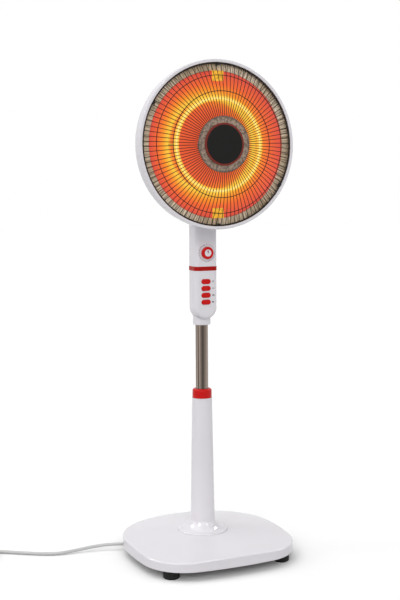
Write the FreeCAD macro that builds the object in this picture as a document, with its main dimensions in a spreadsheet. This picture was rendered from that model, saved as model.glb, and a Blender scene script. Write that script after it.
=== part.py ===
# Free-standing parabolic heater: weighted base, telescopic mast, control column and dish head.
# Millimetres, +Z up, the front faces -Y, origin on the floor under the middle of the base.

import FreeCAD
import Part
import Sketcher
import math
import os
import re

Vec = FreeCAD.Vector

# Driving dimensions

SIZES = {
    # Base cover: four bowed sides, rounded corners and a domed top
    "base_half_width": 183.5,
    "base_front": 172.0,
    "base_back": 172.0,
    "base_front_bow": 848.0,
    "base_side_bow": 587.0,
    "base_back_bow": 360.0,
    "base_side_mid": -8.3,
    "corner_front": 103.0,
    "corner_back": 139.0,
    "base_bottom": 20.3,
    "base_crown": 54.8,
    "dome_radius": 1567.0,
    "base_edge": 3.2,
    "base_wall": 2.5,
    "seat_down": 1.0,
    # Base plate, feet, ballast and safety switch
    "plate_gap": 0.5,
    "plate_thick": 2.5,
    "foot_r": 18.0,
    "foot_front_in": 49.5,
    "foot_front_behind": 51.5,
    "foot_back_in": 71.5,
    "foot_back_ahead": 60.0,
    "foot_edge": 2.0,
    "foot_recess_r": 6.5,
    "foot_recess": 8.0,
    "foot_screw_r": 2.0,
    "foot_screw_head_r": 5.0,
    "foot_screw_head": 3.0,
    "foot_screw_up": 15.7,
    "base_post_r": 6.0,
    "hole_gap": 0.3,
    "fit_gap": 0.05,
    "ballast_in": 73.0,
    "ballast_gap": 6.0,
    "ballast_thick": 13.0,
    "tip_switch_x": -20.0,
    "tip_switch_behind": 32.0,
    "tip_switch_wide": 40.0,
    "tip_switch_deep": 22.0,
    "tip_switch_tall": 17.0,
    # Column: outer steel tube on a bolted flange, with a tapered plastic cover
    "axis_y": 13.0,
    "tube_flange_r": 44.0,
    "tube_flange_thick": 4.0,
    "flange_bolt_ring": 34.0,
    "flange_bolt_r": 2.5,
    "flange_bolt_head_r": 4.5,
    "flange_bolt_head": 3.0,
    "tube_wall": 1.3,
    "tube_room": 1.4,
    "tube_down": 4.0,
    "tube_hole_gap": 1.0,
    "flange_r": 57.7,
    "flange_lip": 2.0,
    "flange_round": 1.5,
    "flare_r": 30.0,
    "flare_tall": 20.0,
    "column_foot_r": 28.0,
    "column_foot_wall": 2.6,
    "column_room": 6.0,
    "column_top": 362.0,
    "column_wall": 2.3,
    "sleeve_lip": 10.0,
    # Collet and lock collar
    "collet_gap": 0.3,
    "collet_fit": 0.2,
    "collet_guide": 36.0,
    "collet_step": 0.1,
    "collet_collar": 5.0,
    "finger_tall": 20.0,
    "slot_width": 2.0,
    "lock_wall": 4.8,
    "lock_gap": 0.4,
    "lock_tall": 20.6,
    "lock_room": 0.5,
    "lock_lip": 4.0,
    "lock_lip_gap": 0.5,
    "lock_round": 5.0,
    # Mast
    "mast_r": 14.3,
    "mast_wall": 1.2,
    "mast_bottom": 175.0,
    "mast_top": 541.0,
    "mast_bush_long": 30.0,
    "slide_gap": 0.35,
    "socket_wall": 5.95,
    "socket_cup": 11.0,
    "socket_up": 12.0,
    "socket_round": 1.5,
    "stem_gap": 1.3,
    "stem_wall": 4.0,
    "stem_up": 56.0,
    # Control column: one rounded block, split into four shells and a band
    "house_ahead": 8.0,
    "house_half_wide": 26.8,
    "house_half_deep": 22.8,
    "house_up": 3.0,
    "upper_tall": 114.6,
    "house_wall": 2.0,
    "house_round": 10.0,
    "roof_round": 15.0,
    "lower_tall": 110.0,
    "band_tall": 9.4,
    "band_proud": 0.7,
    "post_in": 6.3,
    "post_r": 3.0,
    "post_short": 1.9,
    "post_low_up": 28.0,
    "post_mid_down": 9.0,
    "post_neck_up": 6.1,
    "post_high_down": 50.0,
    "screw_r": 1.25,
    "screw_head_r": 2.0,
    "screw_head": 1.8,
    "screw_seat": 6.0,
    "screw_bite": 14.0,
    # Push buttons and their switch block
    "button_x": -2.5,
    "button_down": 24.3,
    "button_pitch": 15.4,
    "button_wide": 22.2,
    "button_tall": 11.0,
    "button_proud": 2.4,
    "button_gap": 0.3,
    "button_lip": 1.1,
    "button_flange": 1.5,
    "button_edge": 1.6,
    "button_stem_r": 3.0,
    "button_stem": 11.0,
    "switch_front": 9.8,
    "switch_deep": 9.0,
    "switch_over": 7.5,
    # Timer and knob
    "knob_up": 30.6,
    "timer_half": 18.0,
    "timer_deep": 20.0,
    "timer_bush_r": 5.0,
    "timer_bush_proud": 1.0,
    "timer_shaft_r": 3.0,
    "timer_shaft_proud": 2.9,
    "knob_r": 13.8,
    "knob_gap": 0.8,
    "knob_front": 6.8,
    "knob_round": 1.0,
    "knob_well_r": 6.0,
    "knob_web": 2.0,
    "knob_floor": 3.2,
    "knob_cap_r": 7.8,
    "knob_cap_front": 7.1,
    "pointer_wide": 1.6,
    "pointer_long": 5.0,
    "pointer_proud": 0.5,
    # Swing drive and tilt hinge
    "motor_gap": 1.3,
    "motor_tall": 26.0,
    "motor_boss_r": 12.0,
    "motor_boss": 9.0,
    "motor_socket": 12.0,
    "roof_gap": 0.2,
    "swing_shaft_r": 3.5,
    "swing_bush_r": 8.0,
    "swing_bush_flange_r": 14.0,
    "swing_bush_flange": 2.0,
    "turn_gap": 0.4,
    "yoke_r": 20.0,
    "yoke_thick": 5.0,
    "cheek_in": 13.0,
    "cheek_thick": 4.5,
    "cheek_r": 10.0,
    "pivot_ahead": 4.0,
    "tilt_up": 34.0,
    "tilt_bolt_r": 3.0,
    "tilt_head_r": 6.0,
    "tilt_head": 4.0,
    "knuckle_r": 11.0,
    "arm_back": 9.0,
    "arm_lap": 23.0,
    "bracket_half_wide": 24.0,
    "bracket_down": 68.8,
    "bracket_tall": 53.0,
    "bracket_thick": 4.4,
    "head_screw_side": 5.5,
    "head_screw_in": 9.0,
    "head_screw_r": 2.0,
    "head_screw_head_r": 3.6,
    "head_screw_head": 2.4,
    "head_screw_bite": 9.0,
    # Head: depths run back from the plane of the grille's outer ring
    "head_ahead": 17.4,
    "head_lap": 61.2,
    "drum_r": 180.0,
    "shell_gap": 1.0,
    "drum_back": 28.0,
    "shoulder_r": 14.0,
    "dome_in": 8.0,
    "dome_step": 12.0,
    "dome_bow": 162.5,
    "dome_wide": 110.0,
    "dome_room": 15.0,
    "shell_wall": 2.0,
    "vent_inside": 28.0,
    "vent_outside": 32.0,
    "vent_wide": 3.4,
    "bezel_out": 2.5,
    "bezel_in": 4.3,
    "bezel_front": -3.0,
    "bezel_round": 2.0,
    "bezel_lip": 0.8,
    "bezel_skirt": 14.0,
    "rim_seat": 5.0,
    "rim_gap": 0.2,
    "rim_wide": 3.3,
    "border_wide": 17.8,
    "dish_front": 5.5,
    "dish_deep": 55.5,
    "dish_hole_r": 22.5,
    "dish_sheet": 0.8,
    # Ring-shaped heating lamp, its legs and posts, and the hub that holds the dish
    "lamp_ring_r": 99.3,
    "lamp_depth": -3.0,
    "lamp_tube_r": 5.5,
    "lamp_wall": 1.0,
    "filament_r": 2.2,
    "lamp_leg_r": 3.2,
    "lamp_leg_x": 9.0,
    "lamp_leg_tail": 5.0,
    "lamp_post_r": 2.2,
    "lamp_post_gap": 1.209,
    "dish_hub_gap": 1.0,
    "dish_hub_proud": 4.0,
    "dish_hub_round": 2.5,
    "hub_flange_lap": 4.5,
    "hub_flange_gap": 0.3,
    "hub_flange": 3.1,
    "spacer_bore": 17.0,
    "terminal_half_wide": 15.0,
    "terminal_low": 62.0,
    "terminal_high": 38.0,
    "terminal_deep": 11.8,
    "cutout_r": 9.0,
    "cutout_deep": 9.0,
    "cutout_up": 48.0,
    "back_gap": 0.2,
    # Wire grille, hub and badge
    "grille_gap": 1.9,
    "grille_ring_wire": 1.6,
    "grille_hub_r": 57.0,
    "grille_hub_wire": 1.5,
    "grille_rise": 28.0,
    "wire_r": 0.75,
    "hoop_wire": 0.8,
    "hoop_outer_in": 26.3,
    "hoop_inner_in": 60.3,
    "weld": 0.4,
    "hub_plate_lap": 3.3,
    "hub_plate_off": 1.4,
    "hub_plate_thick": 1.2,
    "hub_plate_edge": 0.5,
    "badge_r": 41.2,
    "badge_tall": 6.1,
    "badge_round": 1.2,
    "badge_ring_wide": 4.2,
    "badge_ring_tall": 4.4,
    "stay_long": 22.0,
    "stay_in": 0.7,
    "stay_wide": 26.0,
    "stay_front": 0.6,
    "stay_sheet": 1.6,
    "stay_gap": 0.3,
    "clip_wide": 7.0,
    "clip_inside": 4.4,
    "clip_long": 6.0,
    "clip_sheet": 0.8,
    "clip_gap": 1.0,
    "clip_over": 0.1,
    # Mains cord, its strain relief, tie and plug
    "cord_r": 3.6,
    "gland_wall": 1.2,
    "gland_tip_wall": 0.9,
    "gland_long": 34.0,
    "gland_block": 26.0,
    "gland_block_low": 8.0,
    "coil_r": 49.0,
    "coil_gap": 0.6,
    "coil_rise": 0.5,
    "coil_floor": 1.0,
    "coil_tail": 24.0,
    "tie_sheet": 0.8,
    "tie_wide": 9.0,
    "tie_gap": 0.6,
    "plug_neck_r": 7.0,
    "plug_neck": 18.0,
    "plug_wide": 30.0,
    "plug_long": 36.0,
    "plug_edge": 6.0,
    "pin_r": 2.4,
    "pin_long": 19.0,
    "pin_half_pitch": 9.5,
}

# Sizes and places that follow from others

DERIVED = {
    # Base
    "seat_z": "base_crown - seat_down",
    "foot_front_x": "base_half_width - foot_front_in",
    "foot_front_y": "foot_front_behind - base_front",
    "foot_back_x": "base_half_width - foot_back_in",
    "foot_back_y": "base_back - foot_back_ahead",
    "foot_screw_top": "base_bottom + foot_screw_up",
    "ballast_r": "base_front + axis_y - ballast_in",
    "ballast_bore": "tube_flange_r + ballast_gap",
    "tip_switch_y": "tip_switch_behind - base_front",
    # Column, collet and lock collar
    "tube_in_r": "mast_r + tube_room",
    "tube_out_r": "tube_in_r + tube_wall",
    "tube_top": "column_top - tube_down",
    "column_bore": "column_foot_r - column_foot_wall",
    "column_top_r": "tube_out_r + column_room",
    "collet_bore": "mast_r + collet_gap",
    "collet_guide_r": "tube_in_r - collet_fit",
    "collet_r": "tube_out_r - collet_step",
    "finger_top": "tube_top + finger_tall",
    "lock_bottom": "column_top + lock_gap",
    "lock_top": "lock_bottom + lock_tall",
    "lock_bore": "collet_r + lock_room",
    "lock_r": "lock_bore + lock_wall",
    "lock_lip_bore": "mast_r + lock_lip_gap",
    # Mast and control column
    "socket_r": "mast_r + socket_wall",
    "socket_bottom": "mast_top - socket_cup",
    "socket_top": "house_bottom + socket_up",
    "stem_r": "house_half_deep - house_wall - house_ahead - stem_gap",
    "stem_bore": "stem_r - stem_wall",
    "stem_top": "house_bottom + stem_up",
    "house_bottom": "mast_top + house_up",
    "neck_top": "band_top + upper_tall",
    "band_bottom": "house_bottom + lower_tall",
    "band_top": "band_bottom + band_tall",
    "post_x": "house_half_wide - post_in",
    "post_low": "house_bottom + post_low_up",
    "post_mid": "band_bottom - post_mid_down",
    "post_neck": "band_top + post_neck_up",
    "post_high": "neck_top - post_high_down",
    "button_top_z": "band_bottom - button_down",
    "knob_z": "band_top + knob_up",
    # Swing drive, tilt hinge and bracket
    "motor_r": "house_half_deep - house_wall - motor_gap",
    "tilt_z": "neck_top + tilt_up",
    "head_z": "tilt_z + drum_r - head_lap",
    "ring_ahead": "dome_back + head_ahead",
    "bracket_low": "head_z - bracket_down",
    "bracket_high": "bracket_low + bracket_tall",
    "arm_top": "bracket_low + arm_lap",
    "head_screw_x": "bracket_half_wide - head_screw_side",
    "head_screw_low": "bracket_low + head_screw_in",
    "head_screw_high": "bracket_high - head_screw_in",
    # Head and dish
    "dome_r": "drum_r - dome_in",
    "dome_flat_r": "drum_r - dome_wide",
    "dome_start": "drum_back + dome_step",
    "dome_back": "dish_front + dish_deep + dome_room",
    "vent_in": "dome_flat_r + vent_inside",
    "vent_out": "dome_r - vent_outside",
    "bezel_r": "drum_r + bezel_out",
    "bezel_bore": "drum_r - bezel_in",
    "shell_front": "rim_seat + shell_gap",
    "dish_rim_r": "drum_r - rim_gap",
    "dish_rim_in": "dish_rim_r - rim_wide",
    "dish_r": "dish_rim_in - border_wide",
    # Lamp and hub
    "lamp_leg_back": "dish_front + dish_deep + lamp_leg_tail",
    "lamp_post_stop": "dish_front + dish_deep * (1 - (lamp_ring_r / dish_r) ^ 2) - lamp_post_gap",
    "dish_hub_r": "dish_hole_r - dish_hub_gap",
    "dish_hub_front": "dish_front + dish_deep - dish_hub_proud",
    "hub_flange_r": "dish_hole_r + hub_flange_lap",
    "hub_flange_front": "dish_front + dish_deep + hub_flange_gap",
    # Grille, hub plate and badge
    "grille_ring_r": "bezel_bore - grille_gap",
    "hoop_outer_r": "grille_ring_r - hoop_outer_in",
    "hoop_inner_r": "grille_ring_r - hoop_inner_in",
    "hub_plate_r": "grille_hub_r + hub_plate_lap",
    "hub_plate_back": "-grille_rise - hub_plate_off",
    "badge_front": "hub_plate_back - badge_tall",
    "badge_ring_r": "badge_r + badge_ring_wide",
    "badge_ring_front": "hub_plate_back - badge_ring_tall",
    "stay_high": "dish_r - stay_in",
    "stay_low": "stay_high - stay_long",
    "stay_back": "dish_front - stay_gap",
    "clip_in": "grille_ring_r - clip_inside",
    "clip_out": "clip_in + clip_long",
    "clip_front": "-grille_ring_wire - clip_gap",
    "clip_back": "grille_ring_wire + clip_over",
    # Cord
    "gland_root_r": "cord_r + gland_wall",
    "gland_tip_r": "cord_r + gland_tip_wall",
    "coil_pitch": "2 * cord_r + coil_gap",
    "coil_lift": "2 * cord_r + coil_rise",
}
WIRE_COUNT = 96
SLOT_COUNT = 6
VENT_COUNT = 40
BUTTON_COUNT = 4
COIL_TURNS = 5
DISH_POINTS = 9
SEW_GAP = 0.0001
CLIP_ANGLES = (-150, -90, 30, 90)

# Free stretch of the cord, from the strain relief to the coil
CORD_ROUTE = [
    (-146.0, 87.0, 15.0),
    (-186.0, 106.0, 14.6),
    (-230.0, 119.5, 10.6),
    (-274.0, 121.0, 6.4),
    (-312.0, 121.0, 4.6),
    (-347.0, 135.0, 4.0),
    (-387.0, 161.0, 4.2),
    (-431.0, 190.5, 4.6),
    (-477.0, 217.0, 4.6),
]

doc = FreeCAD.newDocument("parabolic_heater")
dims = doc.addObject("Spreadsheet::Sheet", "dims")
for row, (alias, value) in enumerate(SIZES.items(), start=1):
    dims.set(f"A{row}", alias)
    dims.set(f"B{row}", str(value))
    dims.setAlias(f"B{row}", alias)
probe = doc.addObject("Spreadsheet::Sheet", "probe")
doc.recompute()

# Places that several pieces share
HOUSE_Y = "axis_y - house_ahead"
FACE_Y = "axis_y - house_ahead - house_half_deep"
RING_Y = "axis_y - ring_ahead"
PIVOT_Y = "axis_y - pivot_ahead"
PLATE_TOP = "base_bottom + plate_thick"
YOKE_Z = "neck_top + swing_bush_flange + turn_gap"
MOTOR_TOP = "neck_top - house_wall - roof_gap"
SHELL_BACK = "dome_back - shell_wall - back_gap"
FLARE_LOW = "seat_z + flange_lip + flange_round"
BUTTON_Y = FACE_Y + " + house_wall + button_gap + button_flange"
HUB_FRONT = "hub_plate_back - hub_plate_thick"

WORD = re.compile(r"[a-z][a-z_]+")
WAYS = {
    "up": FreeCAD.Rotation(),
    "back": FreeCAD.Rotation(Vec(1, 0, 0), -90),
    "front": FreeCAD.Rotation(Vec(1, 0, 0), 90),
    "right": FreeCAD.Rotation(Vec(0, 1, 0), 90),
}
nodes = []


# Helpers: sizes and places

def linked(text):
    """The expression with every size name pointing at the sheet and every derived name spelled out."""

    def spelled(match):
        name = match.group()
        return f"({linked(DERIVED[name])})" if name in DERIVED else f"dims.{name}"

    return WORD.sub(spelled, text)


def size(text):
    """The number that an expression of size names gives."""
    probe.set("A1", "=" + linked(text))
    probe.recompute()
    return float(probe.get("A1"))


def bind(thing, **sizes):
    for name, text in sizes.items():
        if WORD.search(text):
            thing.setExpression(name, linked(text))
        else:
            setattr(thing, name, float(text))
    return thing


def put(thing, x="0", y="0", z="0", way="up", spin=0):
    turn = WAYS[way] * FreeCAD.Rotation(Vec(0, 0, 1), spin)
    thing.Placement = FreeCAD.Placement(Vec(size(x), size(y), size(z)), turn)
    for axis, text in zip("xyz", (x, y, z)):
        if WORD.search(text):
            thing.setExpression(f"Placement.Base.{axis}", linked(text))
    return thing


def on_head(thing, spin=0):
    """Seats a piece drawn about its own Z on the dish axis, Z running back."""
    return put(thing, "0", RING_Y, "head_z", "back", spin)


def node(label, thing):
    thing.Label = label
    nodes.append(thing)
    return thing


# Helpers: solids

def rod(name, radius, length, x="0", y="0", z="0", way="up"):
    return put(bind(doc.addObject("Part::Cylinder", name), Radius=radius, Height=length), x, y, z, way)


def block(name, dx, dy, dz, x="0", y="0", z="0"):
    return put(bind(doc.addObject("Part::Box", name), Length=dx, Width=dy, Height=dz), x, y, z)


def hexagon(name, radius, length, x="0", y="0", z="0", way="up"):
    prism = doc.addObject("Part::Prism", name)
    prism.Polygon = 6
    return put(bind(prism, Circumradius=radius, Height=length), x, y, z, way)


def joined(name, *things):
    fuse = doc.addObject("Part::MultiFuse", name)
    fuse.Shapes = list(things)
    fuse.Refine = True
    return fuse


def shared(name, *things):
    common = doc.addObject("Part::MultiCommon", name)
    common.Shapes = list(things)
    return common


def less(name, base, *tools):
    cut = doc.addObject("Part::Cut", name)
    cut.Base = base
    cut.Tool = tools[0] if len(tools) == 1 else joined(name + "_tools", *tools)
    return cut


def group(name, *things):
    compound = doc.addObject("Part::Compound", name)
    compound.Links = list(things)
    return compound


def rounded(name, base, radius_of):
    """Rounds the edges for which radius_of gives a radius."""
    doc.recompute()
    picks = [(number, radius_of(edge)) for number, edge in enumerate(base.Shape.Edges, start=1)]
    fillet = doc.addObject("Part::Fillet", name)
    fillet.Base = base
    fillet.Edges = [(number, radius, radius) for number, radius in picks if radius]
    return fillet


def made(name, shape):
    thing = doc.addObject("Part::Feature", name)
    thing.Shape = shape
    return thing


def sketch_on(body, role, name):
    sketch = body.newObject("Sketcher::SketchObject", name)
    plane = [feature for feature in body.Origin.OriginFeatures if feature.Role == role][0]
    sketch.AttachmentSupport = [(plane, "")]
    sketch.MapMode = "FlatFace"
    return sketch


def arc_between(first, last, radius, sense):
    """The arc of this radius from first to last, counterclockwise where sense is 1."""
    chord = last - first
    rise = math.sqrt(max(radius ** 2 - chord.Length ** 2 / 4, 0))
    side = Vec(-chord.y, chord.x, 0).normalize()
    centre = (first + last) * 0.5 + side * (rise * sense)
    low, high = (first, last) if sense > 0 else (last, first)
    start = math.atan2(low.y - centre.y, low.x - centre.x)
    end = math.atan2(high.y - centre.y, high.x - centre.x)
    if end < start:
        end += 2 * math.pi
    return Part.ArcOfCircle(Part.Circle(centre, Vec(0, 0, 1), radius), start, end)


def draw(sketch, outline):
    """Draws a closed outline of (x, y) corners; (x, y, radius, sense) starts an arc there."""
    corners = [Vec(size(point[0]), size(point[1]), 0) for point in outline]
    ends = []
    for number, point in enumerate(outline):
        first = corners[number]
        last = corners[(number + 1) % len(corners)]
        if len(point) == 2:
            edge = sketch.addGeometry(Part.LineSegment(first, last), False)
            ends.append((edge, 1, 2))
            continue
        edge = sketch.addGeometry(arc_between(first, last, size(point[2]), point[3]), False)
        ends.append((edge, 1, 2) if point[3] > 0 else (edge, 2, 1))
        rule = sketch.addConstraint(Sketcher.Constraint("Radius", edge, size(point[2])))
        sketch.setExpression(f"Constraints[{rule}]", linked(point[2]))
    for number, point in enumerate(outline):
        before, _, before_end = ends[number - 1]
        edge, start, _ = ends[number]
        sketch.addConstraint(Sketcher.Constraint("Coincident", before, before_end, edge, start))
        for kind, text, place, line in (
            ("DistanceX", point[0], corners[number].x, -2),
            ("DistanceY", point[1], corners[number].y, -1),
        ):
            if text == "0":
                sketch.addConstraint(Sketcher.Constraint("PointOnObject", edge, start, line))
                continue
            rule = sketch.addConstraint(Sketcher.Constraint(kind, -1, 1, edge, start, place))
            sketch.setExpression(f"Constraints[{rule}]", linked(text))


def turned(name, outline):
    """A body turned about its own Z axis from an outline of (radius, height) corners."""
    body = doc.addObject("PartDesign::Body", name)
    sketch = sketch_on(body, "XZ_Plane", name + "_outline")
    draw(sketch, outline)
    turn = body.newObject("PartDesign::Revolution", name + "_turn")
    turn.Profile = sketch
    turn.ReferenceAxis = (sketch, ["V_Axis"])
    turn.Angle = 360
    return body


def ring(name, bore, radius, low, high):
    return turned(name, [(bore, low), (radius, low), (radius, high), (bore, high)])


def stadium(name, wide, tall, deep, x, y, z):
    """A bar with round ends, reaching forward from y."""
    straight = f"({wide} - ({tall}))"
    bar = block(name + "_bar", straight, deep, tall,
                f"{x} - {straight} / 2", f"{y} - ({deep})", f"{z} - ({tall}) / 2")
    ends = []
    for label, side in (("left", "-"), ("right", "+")):
        ends.append(rod(f"{name}_{label}", f"({tall}) / 2", deep, f"{x} {side} {straight} / 2", y, z, "front"))
    return joined(name, bar, *ends)


# Base

def base_outline(name, inset, bottom, tall):
    """The prism of the base's plan, drawn in by inset all round."""
    bows = {
        "front": ("base_front_bow", "0", "base_front_bow - base_front"),
        "back": ("base_back_bow", "0", "base_back - base_back_bow"),
        "left": ("base_side_bow", "base_side_bow - base_half_width", "base_side_mid"),
        "right": ("base_side_bow", "base_half_width - base_side_bow", "base_side_mid"),
    }
    sides = []
    for side, (bow, x, y) in bows.items():
        sides.append(rod(f"{name}_{side}", f"{bow} - ({inset})", tall, x, y, bottom))

    def corner_radius(edge):
        low, high = edge.Vertexes[0].Point, edge.Vertexes[-1].Point
        if math.hypot(low.x - high.x, low.y - high.y) > 0.01:
            return None
        return size(f"corner_front - ({inset})" if low.y < 0 else f"corner_back - ({inset})")

    return rounded(name, shared(name + "_prism", *sides), corner_radius)


def base_form(name, inset, bottom):
    """The base's outer form: plan, domed top and rounded top edge."""
    prism = base_outline(name + "_plan", inset, bottom, "base_crown")
    ball = bind(doc.addObject("Part::Sphere", name + "_ball"), Radius=f"dome_radius - ({inset})")
    put(ball, "0", "axis_y", "base_crown - dome_radius")
    domed = shared(name + "_domed", prism, ball)
    doc.recompute()
    top = [face for face in domed.Shape.Faces if isinstance(face.Surface, Part.Sphere)][0]

    def edge_radius(edge):
        if any(edge.isSame(other) for other in top.Edges):
            return size(f"base_edge - ({inset})")
        return None

    return rounded(name, domed, edge_radius)


FEET = {
    "front_left": ("-foot_front_x", "foot_front_y"),
    "front_right": ("foot_front_x", "foot_front_y"),
    "back_left": ("-foot_back_x", "foot_back_y"),
    "back_right": ("foot_back_x", "foot_back_y"),
}


def base_cover():
    outer = base_form("cover_outer", "0", "base_bottom")
    inner = base_form("cover_inner", "base_wall", "base_bottom - base_wall")
    posts = []
    pilots = []
    for spot, (x, y) in FEET.items():
        posts.append(rod(f"cover_post_{spot}", "base_post_r", "base_crown", x, y, PLATE_TOP))
        pilots.append(rod(f"cover_pilot_{spot}", "foot_screw_r + fit_gap",
                          f"foot_screw_top + fit_gap - ({PLATE_TOP})", x, y, PLATE_TOP))
    posts = shared("cover_posts", outer, group("cover_post_group", *posts))
    shell = joined("cover_shell", less("cover_hollow", outer, inner), posts)
    seat = rod("cover_seat", "flange_r", "base_crown", "0", "axis_y", "seat_z")
    hole = rod("cover_hole", "tube_out_r + tube_hole_gap", "base_crown", "0", "axis_y", "base_bottom")
    node("base_cover", less("base_cover", shell, seat, hole, *pilots))


def base_plate():
    sheet = base_outline("plate_sheet", "base_wall + plate_gap", "base_bottom", "plate_thick")
    holes = []
    for spot, (x, y) in FEET.items():
        holes.append(rod(f"plate_hole_{spot}", "foot_screw_r + hole_gap", "base_crown", x, y))
    for number, (x, y) in enumerate(flange_bolt_spots()):
        holes.append(rod(f"plate_bolt_{number}", "flange_bolt_r + hole_gap", "base_crown", x, y))
    node("base_plate", less("base_plate", sheet, *holes))


def feet():
    solids = []
    screws = []
    for spot, (x, y) in FEET.items():
        foot = turned(f"foot_{spot}", [
            ("foot_recess_r", "0"), ("foot_r - foot_edge", "0"), ("foot_r", "foot_edge"),
            ("foot_r", "base_bottom"), ("foot_screw_r + hole_gap", "base_bottom"),
            ("foot_screw_r + hole_gap", "foot_recess"), ("foot_recess_r", "foot_recess")])
        solids.append(put(foot, x, y))
        head = rod(f"foot_head_{spot}", "foot_screw_head_r", "foot_screw_head",
                   x, y, "foot_recess - foot_screw_head")
        shank = rod(f"foot_shank_{spot}", "foot_screw_r", "foot_screw_top - foot_recess", x, y, "foot_recess")
        screws.append(joined(f"foot_screw_{spot}", head, shank))
    node("rubber_feet", group("rubber_feet", *solids))
    node("foot_screws", group("foot_screws", *screws))


def flange_bolt_spots():
    half = "flange_bolt_ring * 0.7071"
    return [(f"{a}{half}", f"axis_y {b} {half}") for a in ("-", "") for b in ("-", "+")]


def ballast():
    weight = ring("ballast_weight", "ballast_bore", "ballast_r", PLATE_TOP, f"{PLATE_TOP} + ballast_thick")
    node("ballast_weight", put(weight, "0", "axis_y"))
    node("tip_switch", block("tip_switch", "tip_switch_wide", "tip_switch_deep", "tip_switch_tall",
                             "tip_switch_x", "tip_switch_y", PLATE_TOP))


# Column

def column():
    disc = rod("flange_disc", "tube_flange_r", "tube_flange_thick", "0", "axis_y", PLATE_TOP)
    holes = []
    bolts = []
    top = f"{PLATE_TOP} + tube_flange_thick"
    for number, (x, y) in enumerate(flange_bolt_spots()):
        holes.append(rod(f"flange_hole_{number}", "flange_bolt_r + hole_gap", "base_crown", x, y))
        head = rod(f"bolt_head_{number}", "flange_bolt_head_r", "flange_bolt_head", x, y, top)
        shank = rod(f"bolt_shank_{number}", "flange_bolt_r", "plate_thick + tube_flange_thick",
                    x, y, "base_bottom")
        bolts.append(joined(f"flange_bolt_{number}", head, shank))
    node("tube_flange", less("tube_flange", disc, *holes))
    node("flange_bolts", group("flange_bolts", *bolts))
    node("outer_tube", put(ring("outer_tube", "tube_in_r", "tube_out_r", top, "tube_top"), "0", "axis_y"))
    sleeve = "tube_out_r + hole_gap"
    flare_top = f"{FLARE_LOW} + flare_tall"
    cover = turned("column_cover", [
        ("column_bore", "seat_z"), ("flange_r", "seat_z"),
        ("flange_r", "seat_z + flange_lip", "flange_round", 1),
        ("flange_r - flange_round", FLARE_LOW, "flare_r", -1),
        ("column_foot_r", flare_top), ("column_top_r", "column_top"),
        (sleeve, "column_top"), (sleeve, "column_top - sleeve_lip"),
        ("column_top_r - column_wall", "column_top - sleeve_lip"), ("column_bore", flare_top)])
    node("column_cover", put(cover, "0", "axis_y"))


def collet():
    """The slit clamp sleeve in the top of the outer tube."""
    body = turned("collet", [
        ("collet_bore", "tube_top - collet_guide"), ("collet_guide_r", "tube_top - collet_guide"),
        ("collet_guide_r", "tube_top"), ("collet_r", "tube_top"),
        ("collet_r", "finger_top"), ("collet_bore", "finger_top")])
    doc.recompute()
    whole = body.Shape.Volume
    sketch = sketch_on(body, "XZ_Plane", "collet_slot_outline")
    draw(sketch, [
        ("collet_bore - slot_width", "tube_top + collet_collar"),
        ("collet_r + slot_width", "tube_top + collet_collar"),
        ("collet_r + slot_width", "finger_top + slot_width"),
        ("collet_bore - slot_width", "finger_top + slot_width")])
    slot = body.newObject("PartDesign::Pocket", "collet_slot")
    slot.Profile = sketch
    slot.Midplane = True
    slot.setExpression("Length", linked("slot_width"))
    doc.recompute()
    if body.Shape.Volume >= whole:
        raise RuntimeError("the collet slot cuts nothing")
    pattern = body.newObject("PartDesign::PolarPattern", "collet_slots")
    pattern.Originals = [slot]
    pattern.Axis = (sketch, ["V_Axis"])
    pattern.Angle = 360
    pattern.Occurrences = SLOT_COUNT
    body.Tip = pattern
    node("collet", put(body, "0", "axis_y"))


def lock_collar():
    body = turned("lock_collar", [
        ("lock_bore", "lock_bottom"), ("lock_r", "lock_bottom"),
        ("lock_r", "lock_top - lock_round", "lock_round", 1), ("lock_r - lock_round", "lock_top"),
        ("lock_lip_bore", "lock_top"), ("lock_lip_bore", "lock_top - lock_lip"),
        ("lock_bore", "lock_top - lock_lip")])
    node("lock_collar", put(body, "0", "axis_y"))


# Mast and control column

def house_form(name, inset):
    """The control column's outer form, drawn in by inset: a U-ended block with rounded shoulders and edges."""
    half_wide = f"(house_half_wide - ({inset}))"
    half_deep = f"(house_half_deep - ({inset}))"
    bend_z = "house_bottom + house_half_wide"
    bar = block(name + "_bar", f"2 * {half_wide}", f"2 * {half_deep}", f"neck_top - ({inset}) - ({bend_z})",
                f"-{half_wide}", f"{HOUSE_Y} - {half_deep}", bend_z)
    bend = rod(name + "_bend", half_wide, f"2 * {half_deep}", "0", f"{HOUSE_Y} - {half_deep}", bend_z, "back")
    faces = [size(f"{HOUSE_Y} {side} {half_deep}") for side in ("-", "+")]
    radius = size(f"house_round - ({inset})")
    roof = size(f"neck_top - ({inset})")
    shoulder = size(f"roof_round - ({inset})")

    def shoulder_radius(edge):
        box = edge.BoundBox
        level = abs(box.ZMin - roof) < 0.01 and abs(box.ZMax - roof) < 0.01
        return shoulder if level and box.XLength < 0.01 else None

    def edge_radius(edge):
        box = edge.BoundBox
        flat = any(abs(box.YMin - y) < 0.01 and abs(box.YMax - y) < 0.01 for y in faces)
        return radius if flat else None

    solid = rounded(name + "_shoulders", joined(name + "_block", bar, bend), shoulder_radius)
    return rounded(name, solid, edge_radius)


def zone(name, side, low, high):
    """A box that holds the front or rear half of the control column between two heights."""
    room = "2 * house_half_deep"
    start = HOUSE_Y if side == "rear" else f"{HOUSE_Y} - {room}"
    return block(name, "4 * house_half_wide", room, f"{high} - ({low})", "-2 * house_half_wide", start, low)


POSTS = {
    "control": ("post_low", "post_mid"),
    "neck": ("post_neck", "post_high"),
}


def post_spots(part):
    return [(f"{side}post_x", z) for side in ("-", "") for z in POSTS[part]]


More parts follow.
